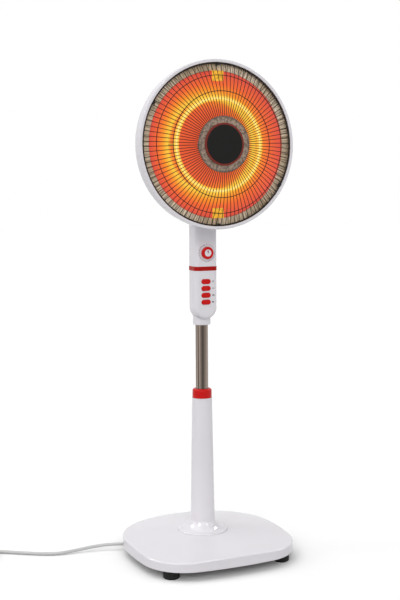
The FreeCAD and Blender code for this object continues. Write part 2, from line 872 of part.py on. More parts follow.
def half_shell(part, side, shell, low, high, cuts):
    """One of the four shells, with its screw posts and holes."""
    name = f"{part}_{side}"
    way = "front" if side == "front" else "back"
    posts = []
    for number, (x, z) in enumerate(post_spots(part)):
        posts.append(rod(f"{name}_post_{number}", "post_r", "house_half_deep - house_wall / 2 - post_short",
                         x, HOUSE_Y, z, way))
        if side == "front":
            cuts.append(rod(f"{name}_pilot_{number}", "screw_r + fit_gap", "screw_bite + hole_gap",
                            x, HOUSE_Y, z, way))
            continue
        cuts.append(rod(f"{name}_bore_{number}", "screw_r + hole_gap", "screw_seat", x, HOUSE_Y, z, way))
        cuts.append(rod(f"{name}_sink_{number}", "screw_head_r + hole_gap", "house_half_deep",
                        x, f"{HOUSE_Y} + screw_seat", z, way))
    wall = shared(f"{name}_wall", shell, zone(f"{name}_zone", side, low, high))
    node(name, less(name, joined(f"{name}_solid", wall, *posts), *cuts))


def stem_hole(name):
    return rod(name, "stem_r + hole_gap", "house_half_wide", "0", "axis_y", "house_bottom - house_wall")


def roof_hole(name):
    return rod(name, "swing_bush_r + hole_gap", "2 * house_wall", "0", HOUSE_Y, "neck_top - 1.5 * house_wall")


def button_heights():
    return [f"(button_top_z - {number} * button_pitch)" for number in range(BUTTON_COUNT)]


def control_column():
    outer = house_form("house_outer", "0")
    inner = house_form("house_inner", "house_wall")
    shell = less("house_shell", outer, inner)
    windows = [stem_hole("front_stem_hole")]
    for number, z in enumerate(button_heights(), start=1):
        windows.append(stadium(f"button_window_{number}", "button_wide + 2 * button_gap",
                               "button_tall + 2 * button_gap", "2 * house_wall",
                               "button_x", f"{FACE_Y} + 1.5 * house_wall", z))
    shaft_hole = rod("timer_hole", "timer_bush_r + hole_gap", "2 * house_wall",
                     "0", f"{FACE_Y} + 1.5 * house_wall", "knob_z", "front")
    half_shell("control", "front", shell, "house_bottom", "band_bottom", windows)
    half_shell("control", "rear", shell, "house_bottom", "band_bottom", [stem_hole("rear_stem_hole")])
    half_shell("neck", "front", shell, "band_top", "neck_top", [shaft_hole, roof_hole("front_roof_hole")])
    half_shell("neck", "rear", shell, "band_top", "neck_top", [roof_hole("rear_roof_hole")])
    proud = less("band_shell", house_form("band_outer", "-band_proud"), inner)
    girth = "4 * house_half_wide"
    slab = block("band_slab", girth, girth, "band_top - band_bottom",
                 "-2 * house_half_wide", f"{HOUSE_Y} - 2 * house_half_wide", "band_bottom")
    node("trim_band", shared("trim_band", proud, slab))
    housing_screws()


def housing_screws():
    screws = []
    for part in POSTS:
        for number, (x, z) in enumerate(post_spots(part)):
            seat = f"{HOUSE_Y} + screw_seat"
            head = rod(f"{part}_head_{number}", "screw_head_r", "screw_head", x, seat, z, "back")
            shank = rod(f"{part}_shank_{number}", "screw_r", "screw_seat + screw_bite", x, seat, z, "front")
            screws.append(joined(f"{part}_screw_{number}", head, shank))
    node("housing_screws", group("housing_screws", *screws))


def mast():
    node("mast_tube", put(ring("mast_tube", "mast_r - mast_wall", "mast_r", "mast_bottom", "mast_top"),
                          "0", "axis_y"))
    bush = ring("mast_bush", "mast_r + fit_gap", "tube_in_r - slide_gap",
                "mast_bottom", "mast_bottom + mast_bush_long")
    node("mast_bush", put(bush, "0", "axis_y"))
    bore = "mast_r + fit_gap"
    floor = "mast_top + fit_gap"
    collar = turned("socket_collar", [
        (bore, "socket_bottom"), ("socket_r - socket_round", "socket_bottom"),
        ("socket_r", "socket_bottom + socket_round"), ("socket_r", "socket_top"),
        ("stem_bore", "socket_top"), ("stem_bore", floor), (bore, floor)])
    put(collar, "0", "axis_y")
    stem = put(ring("socket_stem", "stem_bore", "stem_r", floor, "stem_top"), "0", "axis_y")
    node("mast_socket", joined("mast_socket", less("socket_cut", collar, house_form("socket_room", "-hole_gap")), stem))


def buttons():
    cap_deep = "house_wall + button_gap + button_flange + button_proud"
    front = size(f"{BUTTON_Y} - ({cap_deep})")

    def edge_radius(edge):
        box = edge.BoundBox
        return size("button_edge") if box.YMax < front + 0.01 else None

    holes = []
    for number, z in enumerate(button_heights(), start=1):
        name = f"push_button_{number}"
        cap = stadium(name + "_cap", "button_wide", "button_tall", cap_deep, "button_x", BUTTON_Y, z)
        flange = stadium(name + "_flange", "button_wide + 2 * button_lip", "button_tall + 2 * button_lip",
                         "button_flange", "button_x", BUTTON_Y, z)
        stem = rod(name + "_stem", "button_stem_r", "button_stem", "button_x", BUTTON_Y, z, "back")
        node(name, joined(name, rounded(name + "_face", cap, edge_radius), flange, stem))
        holes.append(rod(f"switch_hole_{number}", "button_stem_r + hole_gap", "house_half_deep",
                         "button_x", FACE_Y, z, "back"))
    half = "(post_x - post_r - hole_gap)"
    low = f"{button_heights()[-1]} - switch_over"
    body = block("switch_body", f"2 * {half}", "switch_deep", f"button_top_z + switch_over - ({low})",
                 f"-{half}", f"{FACE_Y} + switch_front", low)
    node("switch_block", less("switch_block", body, *holes))


def timer():
    front = f"{FACE_Y} + house_wall + roof_gap"
    body = block("timer_body", "2 * timer_half", "timer_deep", "2 * timer_half",
                 "-timer_half", front, "knob_z - timer_half")
    bush = rod("timer_bush", "timer_bush_r", "house_wall + roof_gap + timer_bush_proud",
               "0", front, "knob_z", "front")
    shaft = rod("timer_shaft", "timer_shaft_r", "house_wall + roof_gap + timer_shaft_proud",
                "0", front, "knob_z", "front")
    node("timer_switch", joined("timer_switch", body, bush, shaft))
    cap_bore = "knob_cap_r + fit_gap"
    shaft_bore = "timer_shaft_r + hole_gap"
    knob = turned("timer_knob", [
        ("knob_well_r", "knob_gap"), ("knob_r", "knob_gap"),
        ("knob_r", "knob_front - knob_round", "knob_round", 1), ("knob_r - knob_round", "knob_front"),
        (cap_bore, "knob_front"), (cap_bore, "knob_floor"), (shaft_bore, "knob_floor"),
        (shaft_bore, "knob_web"), ("knob_well_r", "knob_web")])
    node("timer_knob", put(knob, "0", FACE_Y, "knob_z", "front"))
    disc = rod("knob_disc", "knob_cap_r", "knob_cap_front - knob_floor",
               "0", f"{FACE_Y} - knob_floor", "knob_z", "front")
    pointer = block("knob_pointer", "pointer_wide", "pointer_proud", "pointer_long", "-pointer_wide / 2",
                    f"{FACE_Y} - knob_cap_front - pointer_proud", "knob_z + knob_cap_r - pointer_long - 1")
    node("knob_cap", joined("knob_cap", disc, pointer))


# Swing drive and tilt hinge

def swing():
    can_top = f"{MOTOR_TOP} - motor_boss"
    floor = f"{MOTOR_TOP} - motor_socket"
    socket = "swing_shaft_r + hole_gap"
    motor = turned("swing_motor", [
        ("0", f"{can_top} - motor_tall"), ("motor_r", f"{can_top} - motor_tall"), ("motor_r", can_top),
        ("motor_boss_r", can_top), ("motor_boss_r", MOTOR_TOP), (socket, MOTOR_TOP), (socket, floor),
        ("0", floor)])
    node("swing_motor", put(motor, "0", HOUSE_Y))
    low = "neck_top - house_wall"
    bore = "swing_shaft_r + hole_gap"
    bush = turned("swing_bush", [
        (bore, low), ("swing_bush_r", low), ("swing_bush_r", "neck_top"), ("swing_bush_flange_r", "neck_top"),
        ("swing_bush_flange_r", "neck_top + swing_bush_flange"), (bore, "neck_top + swing_bush_flange")])
    node("swing_bush", put(bush, "0", HOUSE_Y))
    foot = f"({MOTOR_TOP} - motor_socket + turn_gap)"
    node("swing_shaft", rod("swing_shaft", "swing_shaft_r", f"{YOKE_Z} + yoke_thick - {foot}",
                            "0", HOUSE_Y, foot))


def tilt_hinge():
    disc = rod("yoke_disc", "yoke_r", "yoke_thick", "0", HOUSE_Y, YOKE_Z)
    cheeks = []
    for side, x in (("left", "-cheek_in - cheek_thick"), ("right", "cheek_in")):
        cheeks.append(block(f"yoke_{side}", "cheek_thick", "2 * cheek_r", f"tilt_z - ({YOKE_Z})",
                            x, f"{PIVOT_Y} - cheek_r", YOKE_Z))
        cheeks.append(rod(f"yoke_eye_{side}", "cheek_r", "cheek_thick", x, PIVOT_Y, "tilt_z", "right"))
    bolt_hole = rod("yoke_bolt_hole", "tilt_bolt_r + hole_gap", "8 * cheek_in",
                    "-4 * cheek_in", PIVOT_Y, "tilt_z", "right")
    shaft_hole = rod("yoke_shaft_hole", "swing_shaft_r + fit_gap", "2 * yoke_thick",
                     "0", HOUSE_Y, f"{YOKE_Z} - yoke_thick / 2")
    node("tilt_yoke", less("tilt_yoke", joined("yoke_solid", disc, *cheeks), bolt_hole, shaft_hole))
    outside = "(cheek_in + cheek_thick + fit_gap)"
    head = hexagon("bolt_head", "tilt_head_r", "tilt_head", f"-{outside} - tilt_head", PIVOT_Y, "tilt_z", "right")
    shank = rod("bolt_shank", "tilt_bolt_r", f"2 * {outside} + tilt_head", f"-{outside}",
                PIVOT_Y, "tilt_z", "right")
    node("tilt_bolt", joined("tilt_bolt", head, shank))
    nut = hexagon("nut_body", "tilt_head_r", "tilt_head", outside, PIVOT_Y, "tilt_z", "right")
    thread = rod("nut_thread", "tilt_bolt_r + fit_gap", "4 * tilt_head", "cheek_in", PIVOT_Y, "tilt_z", "right")
    node("tilt_nut", less("tilt_nut", nut, thread))


def head_bracket():
    """The arm that carries the head on the tilt bolt."""
    half = "(cheek_in - hole_gap)"
    plate_y = f"({RING_Y} + dome_back)"
    arm_front = f"({plate_y} + bracket_thick)"
    knuckle = rod("knuckle", "knuckle_r", f"2 * {half}", f"-{half}", PIVOT_Y, "tilt_z", "right")
    arm = block("arm", f"2 * {half}", f"{PIVOT_Y} + arm_back - {arm_front}", "arm_top - tilt_z",
                f"-{half}", arm_front, "tilt_z")
    plate = block("arm_plate", "2 * bracket_half_wide", "bracket_thick", "bracket_high - bracket_low",
                  "-bracket_half_wide", plate_y, "bracket_low")
    holes = [rod("knuckle_hole", "tilt_bolt_r + hole_gap", "8 * cheek_in",
                 "-4 * cheek_in", PIVOT_Y, "tilt_z", "right")]
    shell_holes = []
    screws = []
    for side in ("-", ""):
        for z in ("head_screw_low", "head_screw_high"):
            x = side + "head_screw_x"
            number = len(screws)
            hole = rod(f"arm_hole_{number}", "head_screw_r + hole_gap", "4 * bracket_thick",
                       x, f"{plate_y} - 2 * bracket_thick", z, "back")
            holes.append(hole)
            shell_holes.append(hole)
            head = rod(f"arm_head_{number}", "head_screw_head_r", "head_screw_head", x, arm_front, z, "back")
            shank = rod(f"arm_shank_{number}", "head_screw_r", "bracket_thick + head_screw_bite",
                        x, arm_front, z, "front")
            screws.append(joined(f"head_screw_{number}", head, shank))
    node("head_bracket", less("head_bracket", joined("arm_solid", knuckle, arm, plate), *holes))
    node("head_screws", group("head_screws", *screws))
    return shell_holes


# Head

def casing(shell_holes):
    inner_start = "dome_start - shell_wall"
    inner_r = "dome_r - shell_wall / 2"
    shell = turned("shell_form", [
        ("drum_r - shell_wall", "shell_front"), ("drum_r", "shell_front"),
        ("drum_r", "drum_back", "shoulder_r", 1), ("dome_r", "dome_start", "dome_bow", 1),
        ("dome_flat_r", "dome_back"), ("0", "dome_back"), ("0", "dome_back - shell_wall"),
        ("dome_flat_r", "dome_back - shell_wall", "dome_bow", -1), (inner_r, inner_start),
        ("drum_r - shell_wall", "drum_back")])
    vents = []
    for number in range(VENT_COUNT):
        slot = block(f"vent_slot_{number}", "vent_out - vent_in", "vent_wide", "dome_back",
                     "vent_in", "-vent_wide / 2", "dome_start")
        vents.append(on_head(group(f"vent_{number}", slot), (number + 0.5) * 360 / VENT_COUNT))
    node("rear_shell", less("rear_shell", on_head(shell), *shell_holes, *vents))
    skirt_bore = "drum_r + hole_gap"
    bezel = turned("front_bezel", [
        ("bezel_bore", "bezel_front + bezel_lip"), ("bezel_bore + bezel_lip", "bezel_front"),
        ("bezel_r - bezel_round", "bezel_front", "bezel_round", 1), ("bezel_r", "bezel_front + bezel_round"),
        ("bezel_r", "bezel_skirt"), (skirt_bore, "bezel_skirt"), (skirt_bore, "rim_seat"),
        ("bezel_bore", "rim_seat")])
    node("front_bezel", on_head(bezel))


def dish_depth(radius):
    """Depth of the dish's mirror face behind the grille ring."""
    return size("dish_front") + size("dish_deep") * (1 - (radius / size("dish_r")) ** 2)


def reflector():
    """The pressed sheet dish: flat rim, sloping border and parabolic bowl with a hole for the element."""
    sheet = size("dish_sheet")
    rim = size("rim_seat") + size("fit_gap")
    reach = size("dish_r") - size("dish_hole_r")
    radii = [size("dish_r") - reach * step / (DISH_POINTS - 1) for step in range(DISH_POINTS)]
    border = [(size("dish_rim_r"), rim), (size("dish_rim_in"), rim), (size("dish_r"), size("dish_front"))]

    def face_edges(shift):
        corners = [Vec(r, 0, s + shift) for r, s in border]
        edges = [Part.makeLine(a, b) for a, b in zip(corners, corners[1:])]
        bowl = Part.BSplineCurve()
        bowl.interpolate([Vec(r, 0, dish_depth(r) + shift) for r in radii])
        return edges + [bowl.toShape()], corners[0], Vec(radii[-1], 0, dish_depth(radii[-1]) + shift)

    front, front_rim, front_hole = face_edges(0)
    back, back_rim, back_hole = face_edges(sheet)
    edges = front + [Part.makeLine(front_hole, back_hole)] + back + [Part.makeLine(back_rim, front_rim)]
    profile = Part.Face(Part.Wire(Part.__sortEdges__(edges)))
    dish = profile.revolve(Vec(0, 0, 0), Vec(0, 0, 1), 360)
    holes = [lamp_leg(f"dish_leg_hole_{number}", "lamp_leg_r + hole_gap", side)
             for number, side in enumerate(("-", ""))]
    node("reflector", less("reflector", on_head(made("dish_form", dish)), *holes))


def lamp_leg(name, radius, side):
    """A leg of the lamp, from just behind its filament to behind the dish."""
    front = "(lamp_depth + filament_r + hole_gap)"
    return rod(name, radius, f"lamp_leg_back - {front}", f"{side}lamp_leg_x", f"{RING_Y} + {front}",
               "head_z - lamp_ring_r", "back")


def torus(name, tube):
    hoop = bind(doc.addObject("Part::Torus", name), Radius1="lamp_ring_r", Radius2=tube)
    return put(hoop, "0", f"{RING_Y} + lamp_depth", "head_z", "back")


def heating_lamp():
    """The glowing ring lamp before the dish, with the dish's hub, the wiring block and the cut-out."""
    holes = [lamp_leg(f"lamp_leg_hole_{number}", "lamp_leg_r + fit_gap", side)
             for number, side in enumerate(("-", ""))]
    bore = torus("lamp_bore", "lamp_tube_r - lamp_wall")
    node("lamp_tube", less("lamp_tube", torus("lamp_glass", "lamp_tube_r"), bore, *holes))
    node("filament", torus("filament", "filament_r"))
    legs = [lamp_leg("lamp_leg_left", "lamp_leg_r", "-"), lamp_leg("lamp_leg_right", "lamp_leg_r", "")]
    node("lamp_legs", group("lamp_legs", *legs))
    start = "(lamp_depth + lamp_tube_r + roof_gap)"
    posts = []
    for name, x, z in (("top", "0", "head_z + lamp_ring_r"), ("left", "-lamp_ring_r", "head_z")):
        posts.append(rod(f"lamp_post_{name}", "lamp_post_r", f"lamp_post_stop - {start}",
                         x, f"{RING_Y} + {start}", z, "back"))
    node("lamp_posts", group("lamp_posts", *posts))
    flange_back = "hub_flange_front + hub_flange"
    hub = turned("dish_hub", [
        ("0", "dish_hub_front"), ("dish_hub_r - dish_hub_round", "dish_hub_front", "dish_hub_round", 1),
        ("dish_hub_r", "dish_hub_front + dish_hub_round"), ("dish_hub_r", "hub_flange_front"),
        ("hub_flange_r", "hub_flange_front"), ("hub_flange_r", flange_back), ("0", flange_back)])
    node("dish_hub", on_head(hub))
    node("dish_spacer", on_head(ring("dish_spacer", "spacer_bore", "hub_flange_r", flange_back, SHELL_BACK)))
    node("terminal_block", block("terminal_block", "2 * terminal_half_wide", "terminal_deep",
                                 "terminal_low - terminal_high", "-terminal_half_wide",
                                 f"{RING_Y} + {SHELL_BACK} - terminal_deep", "head_z - terminal_low"))
    node("thermal_cutout", rod("thermal_cutout", "cutout_r", "cutout_deep", "0",
                               f"{RING_Y} + {SHELL_BACK}", "head_z + cutout_up", "front"))


def wire_depth(radius):
    """Depth of the radial wires' bowed centre line at a radius."""
    rise = size("grille_rise")
    reach = size("grille_ring_r - grille_hub_r")
    bow = (reach ** 2 + rise ** 2) / (2 * rise)
    return bow - rise - math.sqrt(bow ** 2 - (radius - size("grille_hub_r")) ** 2)


def grille():
    """The welded guard: one wire's sector is made, and its faces repeat round the axis as one solid."""
    half = 180.0 / WIRE_COUNT
    behind = size("wire_r") + size("hoop_wire") - size("weld")
    hoops = [
        (size("grille_ring_r"), 0.0, size("grille_ring_wire")),
        (size("hoop_outer_r"), wire_depth(size("hoop_outer_r")) + behind, size("hoop_wire")),
        (size("hoop_inner_r"), wire_depth(size("hoop_inner_r")) + behind, size("hoop_wire")),
        (size("grille_hub_r"), wire_depth(size("grille_hub_r")) + size("hole_gap"), size("grille_hub_wire")),
    ]
    arcs = []
    for radius, depth, thick in hoops:
        path = Part.makeCircle(radius, Vec(0, 0, depth), Vec(0, 0, 1), -half, half)
        start = path.valueAt(path.FirstParameter)
        section = Part.Wire([Part.makeCircle(thick, start, path.tangentAt(path.FirstParameter))])
        arcs.append(Part.Wire([path]).makePipeShell([section], True, True))
    stops = [size("grille_hub_r"), size("(grille_hub_r + grille_ring_r) / 2"), size("grille_ring_r")]
    bowed = Part.Arc(*[Vec(radius, 0, wire_depth(radius)) for radius in stops]).toShape()
    start = bowed.valueAt(bowed.FirstParameter)
    section = Part.Wire([Part.makeCircle(size("wire_r"), start, bowed.tangentAt(bowed.FirstParameter))])
    wire = Part.Wire([bowed]).makePipeShell([section], True, True)
    sector = arcs[0].multiFuse(arcs[1:] + [wire])

    def on_sector_side(face):
        centre = face.CenterOfMass
        angle = math.degrees(math.atan2(centre.y, centre.x))
        return isinstance(face.Surface, Part.Plane) and abs(abs(angle) - half) < 0.001

    skin = [face for face in sector.Faces if not on_sector_side(face)]
    faces = []
    for number in range(WIRE_COUNT):
        for face in skin:
            copy = face.copy()
            copy.rotate(Vec(0, 0, 0), Vec(0, 0, 1), (number + 0.5) * 2 * half)
            faces.append(copy)
    shell = Part.makeShell(faces)
    shell.sewShape(SEW_GAP)
    node("grille", on_head(made("grille", Part.makeSolid(shell))))


def grille_fittings():
    plate = turned("grille_hub", [
        ("0", HUB_FRONT), ("hub_plate_r - hub_plate_edge", HUB_FRONT),
        ("hub_plate_r", f"{HUB_FRONT} + hub_plate_edge"), ("hub_plate_r", "hub_plate_back"),
        ("0", "hub_plate_back")])
    node("grille_hub", on_head(plate))
    band = ring("badge_ring", "badge_r + hole_gap", "badge_ring_r", "badge_ring_front", HUB_FRONT)
    node("badge_ring", on_head(band))
    badge = turned("badge", [
        ("0", "badge_front"), ("badge_r - badge_round", "badge_front", "badge_round", 1),
        ("badge_r", "badge_front + badge_round"), ("badge_r", HUB_FRONT), ("0", HUB_FRONT)])
    node("badge", on_head(badge))
    stays = []
    for name, spin in (("top", -90), ("bottom", 90)):
        face = block(f"stay_face_{name}", "stay_high - stay_low", "stay_wide", "stay_sheet",
                     "stay_low", "-stay_wide / 2", "stay_front")
        leg = block(f"stay_leg_{name}", "stay_sheet", "stay_wide", "stay_back - stay_front",
                    "stay_high - stay_sheet", "-stay_wide / 2", "stay_front")
        stays.append(on_head(joined(f"stay_{name}", face, leg), spin))
    node("grille_stays", group("grille_stays", *stays))
    clips = []
    for number, spin in enumerate(CLIP_ANGLES):
        face = block(f"clip_face_{number}", "clip_out - clip_in", "clip_wide", "clip_sheet",
                     "clip_in", "-clip_wide / 2", "clip_front")
        leg = block(f"clip_leg_{number}", "clip_sheet", "clip_wide", "clip_back - clip_front",
                    "clip_in", "-clip_wide / 2", "clip_front")
        clips.append(on_head(joined(f"clip_{number}", face, leg), spin))
    node("grille_clips", group("grille_clips", *clips))


# Mains cord

def tube_along(wire, radius):
    start = wire.Edges[0]
    section = Part.makeCircle(radius, start.valueAt(start.FirstParameter), start.tangentAt(start.FirstParameter))
    return wire.makePipeShell([Part.Wire([section])], True, False)


def routed(points):
    """Straight runs joined by tangent arcs as large as the runs allow."""
    edges = []
    radii = []
    last = points[0]
    for before, corner, after in zip(points, points[1:], points[2:]):
        come, go = corner - before, after - corner
        turn = come.getAngle(go)
        reach = 0.45 * min(come.Length, go.Length)
        radii.append(reach / math.tan(turn / 2))
        come.normalize()
        go.normalize()
        start, end = corner - come * reach, corner + go * reach
        middle = corner + (go - come).normalize() * (radii[-1] / math.cos(turn / 2) - radii[-1])
        edges.append(Part.LineSegment(last, start).toShape())
        edges.append(Part.Arc(start, middle, end).toShape())
        last = end
    edges.append(Part.LineSegment(last, points[-1]).toShape())
    print("cord radii", [round(radius) for radius in radii])
    return Part.Wire(edges)


def arc_from(point, way, end):
    """The arc that leaves point along way and reaches end."""
    chord = end - point
    cosine = way.dot(chord) / chord.Length
    bisector = (way + chord / chord.Length).normalize()
    middle = point + bisector * (chord.Length / (2 * math.sqrt((1 + cosine) / 2)))
    return Part.Arc(point, middle, end).toShape()


def biarc(first, first_way, last, last_way):
    """Two tangent arcs between two points with set directions."""
    span = last - first
    both = first_way + last_way
    spare = 2 * (1 - first_way.dot(last_way))
    along = span.dot(both)
    reach = (math.sqrt(along ** 2 + spare * span.dot(span)) - along) / spare
    meet = (first + first_way * reach + last - last_way * reach) * 0.5
    back = arc_from(last, last_way * -1, meet)
    return [arc_from(first, first_way, meet), Part.Arc(meet, back.valueAt(
        (back.FirstParameter + back.LastParameter) / 2), last).toShape()]


class Coil:
    """The put-away cord: it spirals in on the floor, climbs a layer and spirals out on top."""

    def __init__(self):
        self.start = Vec(*CORD_ROUTE[-1])
        way = self.start - Vec(*CORD_ROUTE[-2])
        self.way = Vec(way.x, way.y, 0).normalize()
        self.low = size("cord_r + coil_floor")
        self.radius = size("coil_r")
        self.entry = math.atan2(-self.way.x, self.way.y)
        out = Vec(math.cos(self.entry), math.sin(self.entry), 0)
        self.centre = Vec(self.start.x, self.start.y, 0) - out * self.radius
        self.middle = COIL_TURNS * math.pi
        self.rate = size("coil_pitch") / (2 * math.pi)

    def point(self, angle):
        past = angle - self.middle
        quarter = math.pi / 2
        if abs(past) < quarter:
            spread = past ** 2 / math.pi + math.pi / 4
            share = (past + quarter) / math.pi
            lift = 3 * share ** 2 - 2 * share ** 3
        else:
            spread = abs(past)
            lift = 1.0 if past > 0 else 0.0
        radius = self.radius - self.rate * (self.middle - spread)
        turn = self.entry + angle
        place = Vec(math.cos(turn), math.sin(turn), 0) * radius
        return self.centre + place + Vec(0, 0, self.low + lift * size("coil_lift"))

    def way_at(self, angle):
        step = 0.001
        return (self.point(angle + step) - self.point(angle - step)).normalize()

    def path(self):
        lead = size("2 * cord_r")
        quarter = math.pi / 2
        angles = [quarter * number for number in range(4 * COIL_TURNS + 1)]
        first_way, last_way = self.way_at(angles[0]), self.way_at(angles[-1])
        first, last = self.point(angles[0]), self.point(angles[-1])
        self.mouth = first - first_way * lead
        self.mouth_way = first_way
        self.end = last + last_way * size("coil_tail")
        self.end_way = last_way
        edges = [Part.LineSegment(self.mouth, first).toShape()]
        for low, high in zip(angles, angles[1:]):
            edges += biarc(self.point(low), self.way_at(low), self.point(high), self.way_at(high))
        edges.append(Part.LineSegment(last, self.end).toShape())
        return Part.Wire(edges)


def self_gap(wire, radius):
    """The least gap between stretches of a wound tube more than a quarter turn apart."""
    points = wire.discretize(Distance=3.0)
    apart = int(8 * size("cord_r") / 3.0)
    near = min(
        (points[i] - points[j]).Length
        for i in range(len(points)) for j in range(i + apart, len(points)))
    return near - 2 * radius


def cord():
    radius = size("cord_r")
    coil = Coil()
    coil_path = coil.path()
    last_run = size("12 * cord_r")
    points = [Vec(*point) for point in CORD_ROUTE[:-2]]
    points += [coil.mouth - coil.mouth_way * last_run, coil.mouth]
    exit_point = points[0]
    exit_way = (points[1] - points[0]).normalize()
    lead_path = routed(points)
    for name, path in (("cord_lead", lead_path), ("cord_coil", coil_path)):
        tube = tube_along(path, radius)
        print(name, "length", round(path.Length, 1),
              "volume ratio", round(tube.Volume / (math.pi * radius ** 2 * path.Length), 4))
        node(name, made(name, tube))
    print("coil self gap", round(self_gap(coil_path, radius), 2))
    gland(exit_point, exit_way)
    tie(coil)
    plug(coil)


def gland(tip, way):
    """The strain relief under the base plate, with its anchor block."""
    root = tip - way * size("gland_long")
    cone = bind(doc.addObject("Part::Cone", "gland_cone"),
                Radius1="gland_root_r", Radius2="gland_tip_r", Height="gland_long")
    cone.Placement = FreeCAD.Placement(root, FreeCAD.Rotation(Vec(0, 0, 1), way))
    half = size("gland_block") / 2
    centre = root - way * (half - size("cord_r"))
    anchor = block("gland_anchor", "gland_block", "gland_block", "base_bottom - fit_gap - gland_block_low",
                   str(centre.x - half), str(centre.y - half), "gland_block_low")
    node("cord_gland", joined("cord_gland", cone, anchor))


def tie(coil):
    """The strap round the coil's turns, opposite the place where the cord comes in."""
    here = coil.middle
    inner_r = coil.point(here).sub(coil.centre).projectToPlane(Vec(0, 0, 0), Vec(0, 0, 1)).Length
    outer_r = coil.point(math.pi).sub(coil.centre).projectToPlane(Vec(0, 0, 0), Vec(0, 0, 1)).Length
    spare = size("cord_r + tie_gap")
    sheet = size("tie_sheet")
    low = size("coil_floor - tie_sheet - fit_gap")
    tall = size("2 * cord_r + coil_lift + tie_gap + 2 * tie_sheet + fit_gap")
    wide = outer_r - inner_r + 2 * spare + 2 * sheet
    strap = block("tie_strap", str(wide), "tie_wide", str(tall),
                  str(inner_r - spare - sheet), "-tie_wide / 2", str(low))
    inside = block("tie_inside", f"{wide} - 2 * tie_sheet", "2 * tie_wide", f"{tall} - 2 * tie_sheet",
                   str(inner_r - spare), "-tie_wide", f"{low} + tie_sheet")
    band = less("cord_tie", strap, inside)
    turn = FreeCAD.Rotation(Vec(0, 0, 1), math.degrees(coil.entry + math.pi))
    band.Placement = FreeCAD.Placement(coil.centre, turn)
    node("cord_tie", band)


def plug(coil):
    """The plug on the cord's end, lying flat beside the coil."""
    way = coil.end_way
    side = Vec(-way.y, way.x, 0)
    seat = FreeCAD.Placement(coil.end, FreeCAD.Rotation(side, Vec(0, 0, 1), way, "ZYX"))
    half_tall = coil.end.z - size("fit_gap")
    neck = bind(doc.addObject("Part::Cone", "plug_neck"),
                Radius1="gland_tip_r", Radius2="plug_neck_r", Height="plug_neck")
    body = block("plug_block", "plug_wide", str(2 * half_tall), "plug_long",
                 "-plug_wide / 2", str(-half_tall), "plug_neck")

    def edge_radius(edge):
        return size("plug_edge") if edge.BoundBox.ZLength > size("plug_long") - 0.1 else None

    shell = joined("plug_body", neck, rounded("plug_round", body, edge_radius))
    shell.Placement = seat
    node("plug_body", shell)
    pins = []
    for name, sign in (("left", "-"), ("right", "")):
        pins.append(rod(f"plug_pin_{name}", "pin_r", "pin_long", f"{sign}pin_half_pitch", "0",
                        "plug_neck + plug_long"))
    pair = group("plug_pins", *pins)
    pair.Placement = seat
    node("plug_pins", pair)


base_cover()
base_plate()
feet()
ballast()
column()
collet()
lock_collar()
control_column()
mast()
buttons()
timer()
swing()
tilt_hinge()
casing(head_bracket())
reflector()
heating_lamp()
grille()
grille_fittings()
cord()
doc.recompute()

for thing in doc.Objects:
    if "Invalid" in thing.State or "Error" in thing.State:
        raise RuntimeError(f"{thing.Label} failed: {thing.State}")
for thing in nodes:
    if thing.Shape.isNull() or not thing.Shape.isValid():
        raise RuntimeError(f"{thing.Label} has no valid shape")
os.makedirs("parts", exist_ok=True)
for thing in nodes:
    thing.Shape.exportStep(f"parts/{thing.Label}.step")
print(len(nodes), "nodes written")
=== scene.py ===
# Looks of the free-standing parabolic heater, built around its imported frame.
# Metres, +Z up, the front faces -Y.

import math

import bmesh
import bpy
from mathutils import Matrix, Vector


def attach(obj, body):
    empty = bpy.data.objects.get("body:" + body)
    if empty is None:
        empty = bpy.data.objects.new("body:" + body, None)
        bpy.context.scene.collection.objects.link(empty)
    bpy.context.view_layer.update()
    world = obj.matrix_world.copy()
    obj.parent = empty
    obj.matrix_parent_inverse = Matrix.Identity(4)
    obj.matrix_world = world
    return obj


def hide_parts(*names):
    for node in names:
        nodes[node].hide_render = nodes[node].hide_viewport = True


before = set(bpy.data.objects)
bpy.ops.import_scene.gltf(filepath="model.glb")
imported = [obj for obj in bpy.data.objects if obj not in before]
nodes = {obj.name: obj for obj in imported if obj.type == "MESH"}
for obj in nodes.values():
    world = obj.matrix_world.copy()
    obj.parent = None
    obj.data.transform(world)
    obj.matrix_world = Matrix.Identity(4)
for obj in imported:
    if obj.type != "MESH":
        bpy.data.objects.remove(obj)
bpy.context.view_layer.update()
scene = bpy.context.scene


# Places taken from the frame

def box(name):
    """The lowest and the highest corner of a node."""
    axes = list(zip(*(vert.co for vert in nodes[name].data.vertices)))
    return Vector([min(axis) for axis in axes]), Vector([max(axis) for axis in axes])


def middle(name):
    low, high = box(name)
    return (low + high) / 2


MM = 0.001
BUTTONS = [f"push_button_{number}" for number in range(1, 5)]
BUTTON_HEIGHTS = [middle(name).z for name in BUTTONS]
MAST_Y = middle("mast_tube").y
HEAD_Z = middle("reflector").z
KNOB_Z = middle("timer_knob").z
WIRE_Y = middle("filament").y
FACE_Y = box("control_front")[0].y
CAP_Y = box("knob_cap")[0].y


# Camera, at the photograph's viewpoint

CAMERA_DISTANCE = 2.48004
CAMERA_HEIGHT = 0.83689
CAMERA_AZIMUTH = math.radians(-23.89)
CAMERA_YAW = math.radians(0.08)
CAMERA_PITCH = math.radians(5.79)
CAMERA_ROLL = math.radians(-0.32)
FOCAL_PIXELS = 1098.54
IMAGE_HEIGHT = 600
SENSOR = 36.0


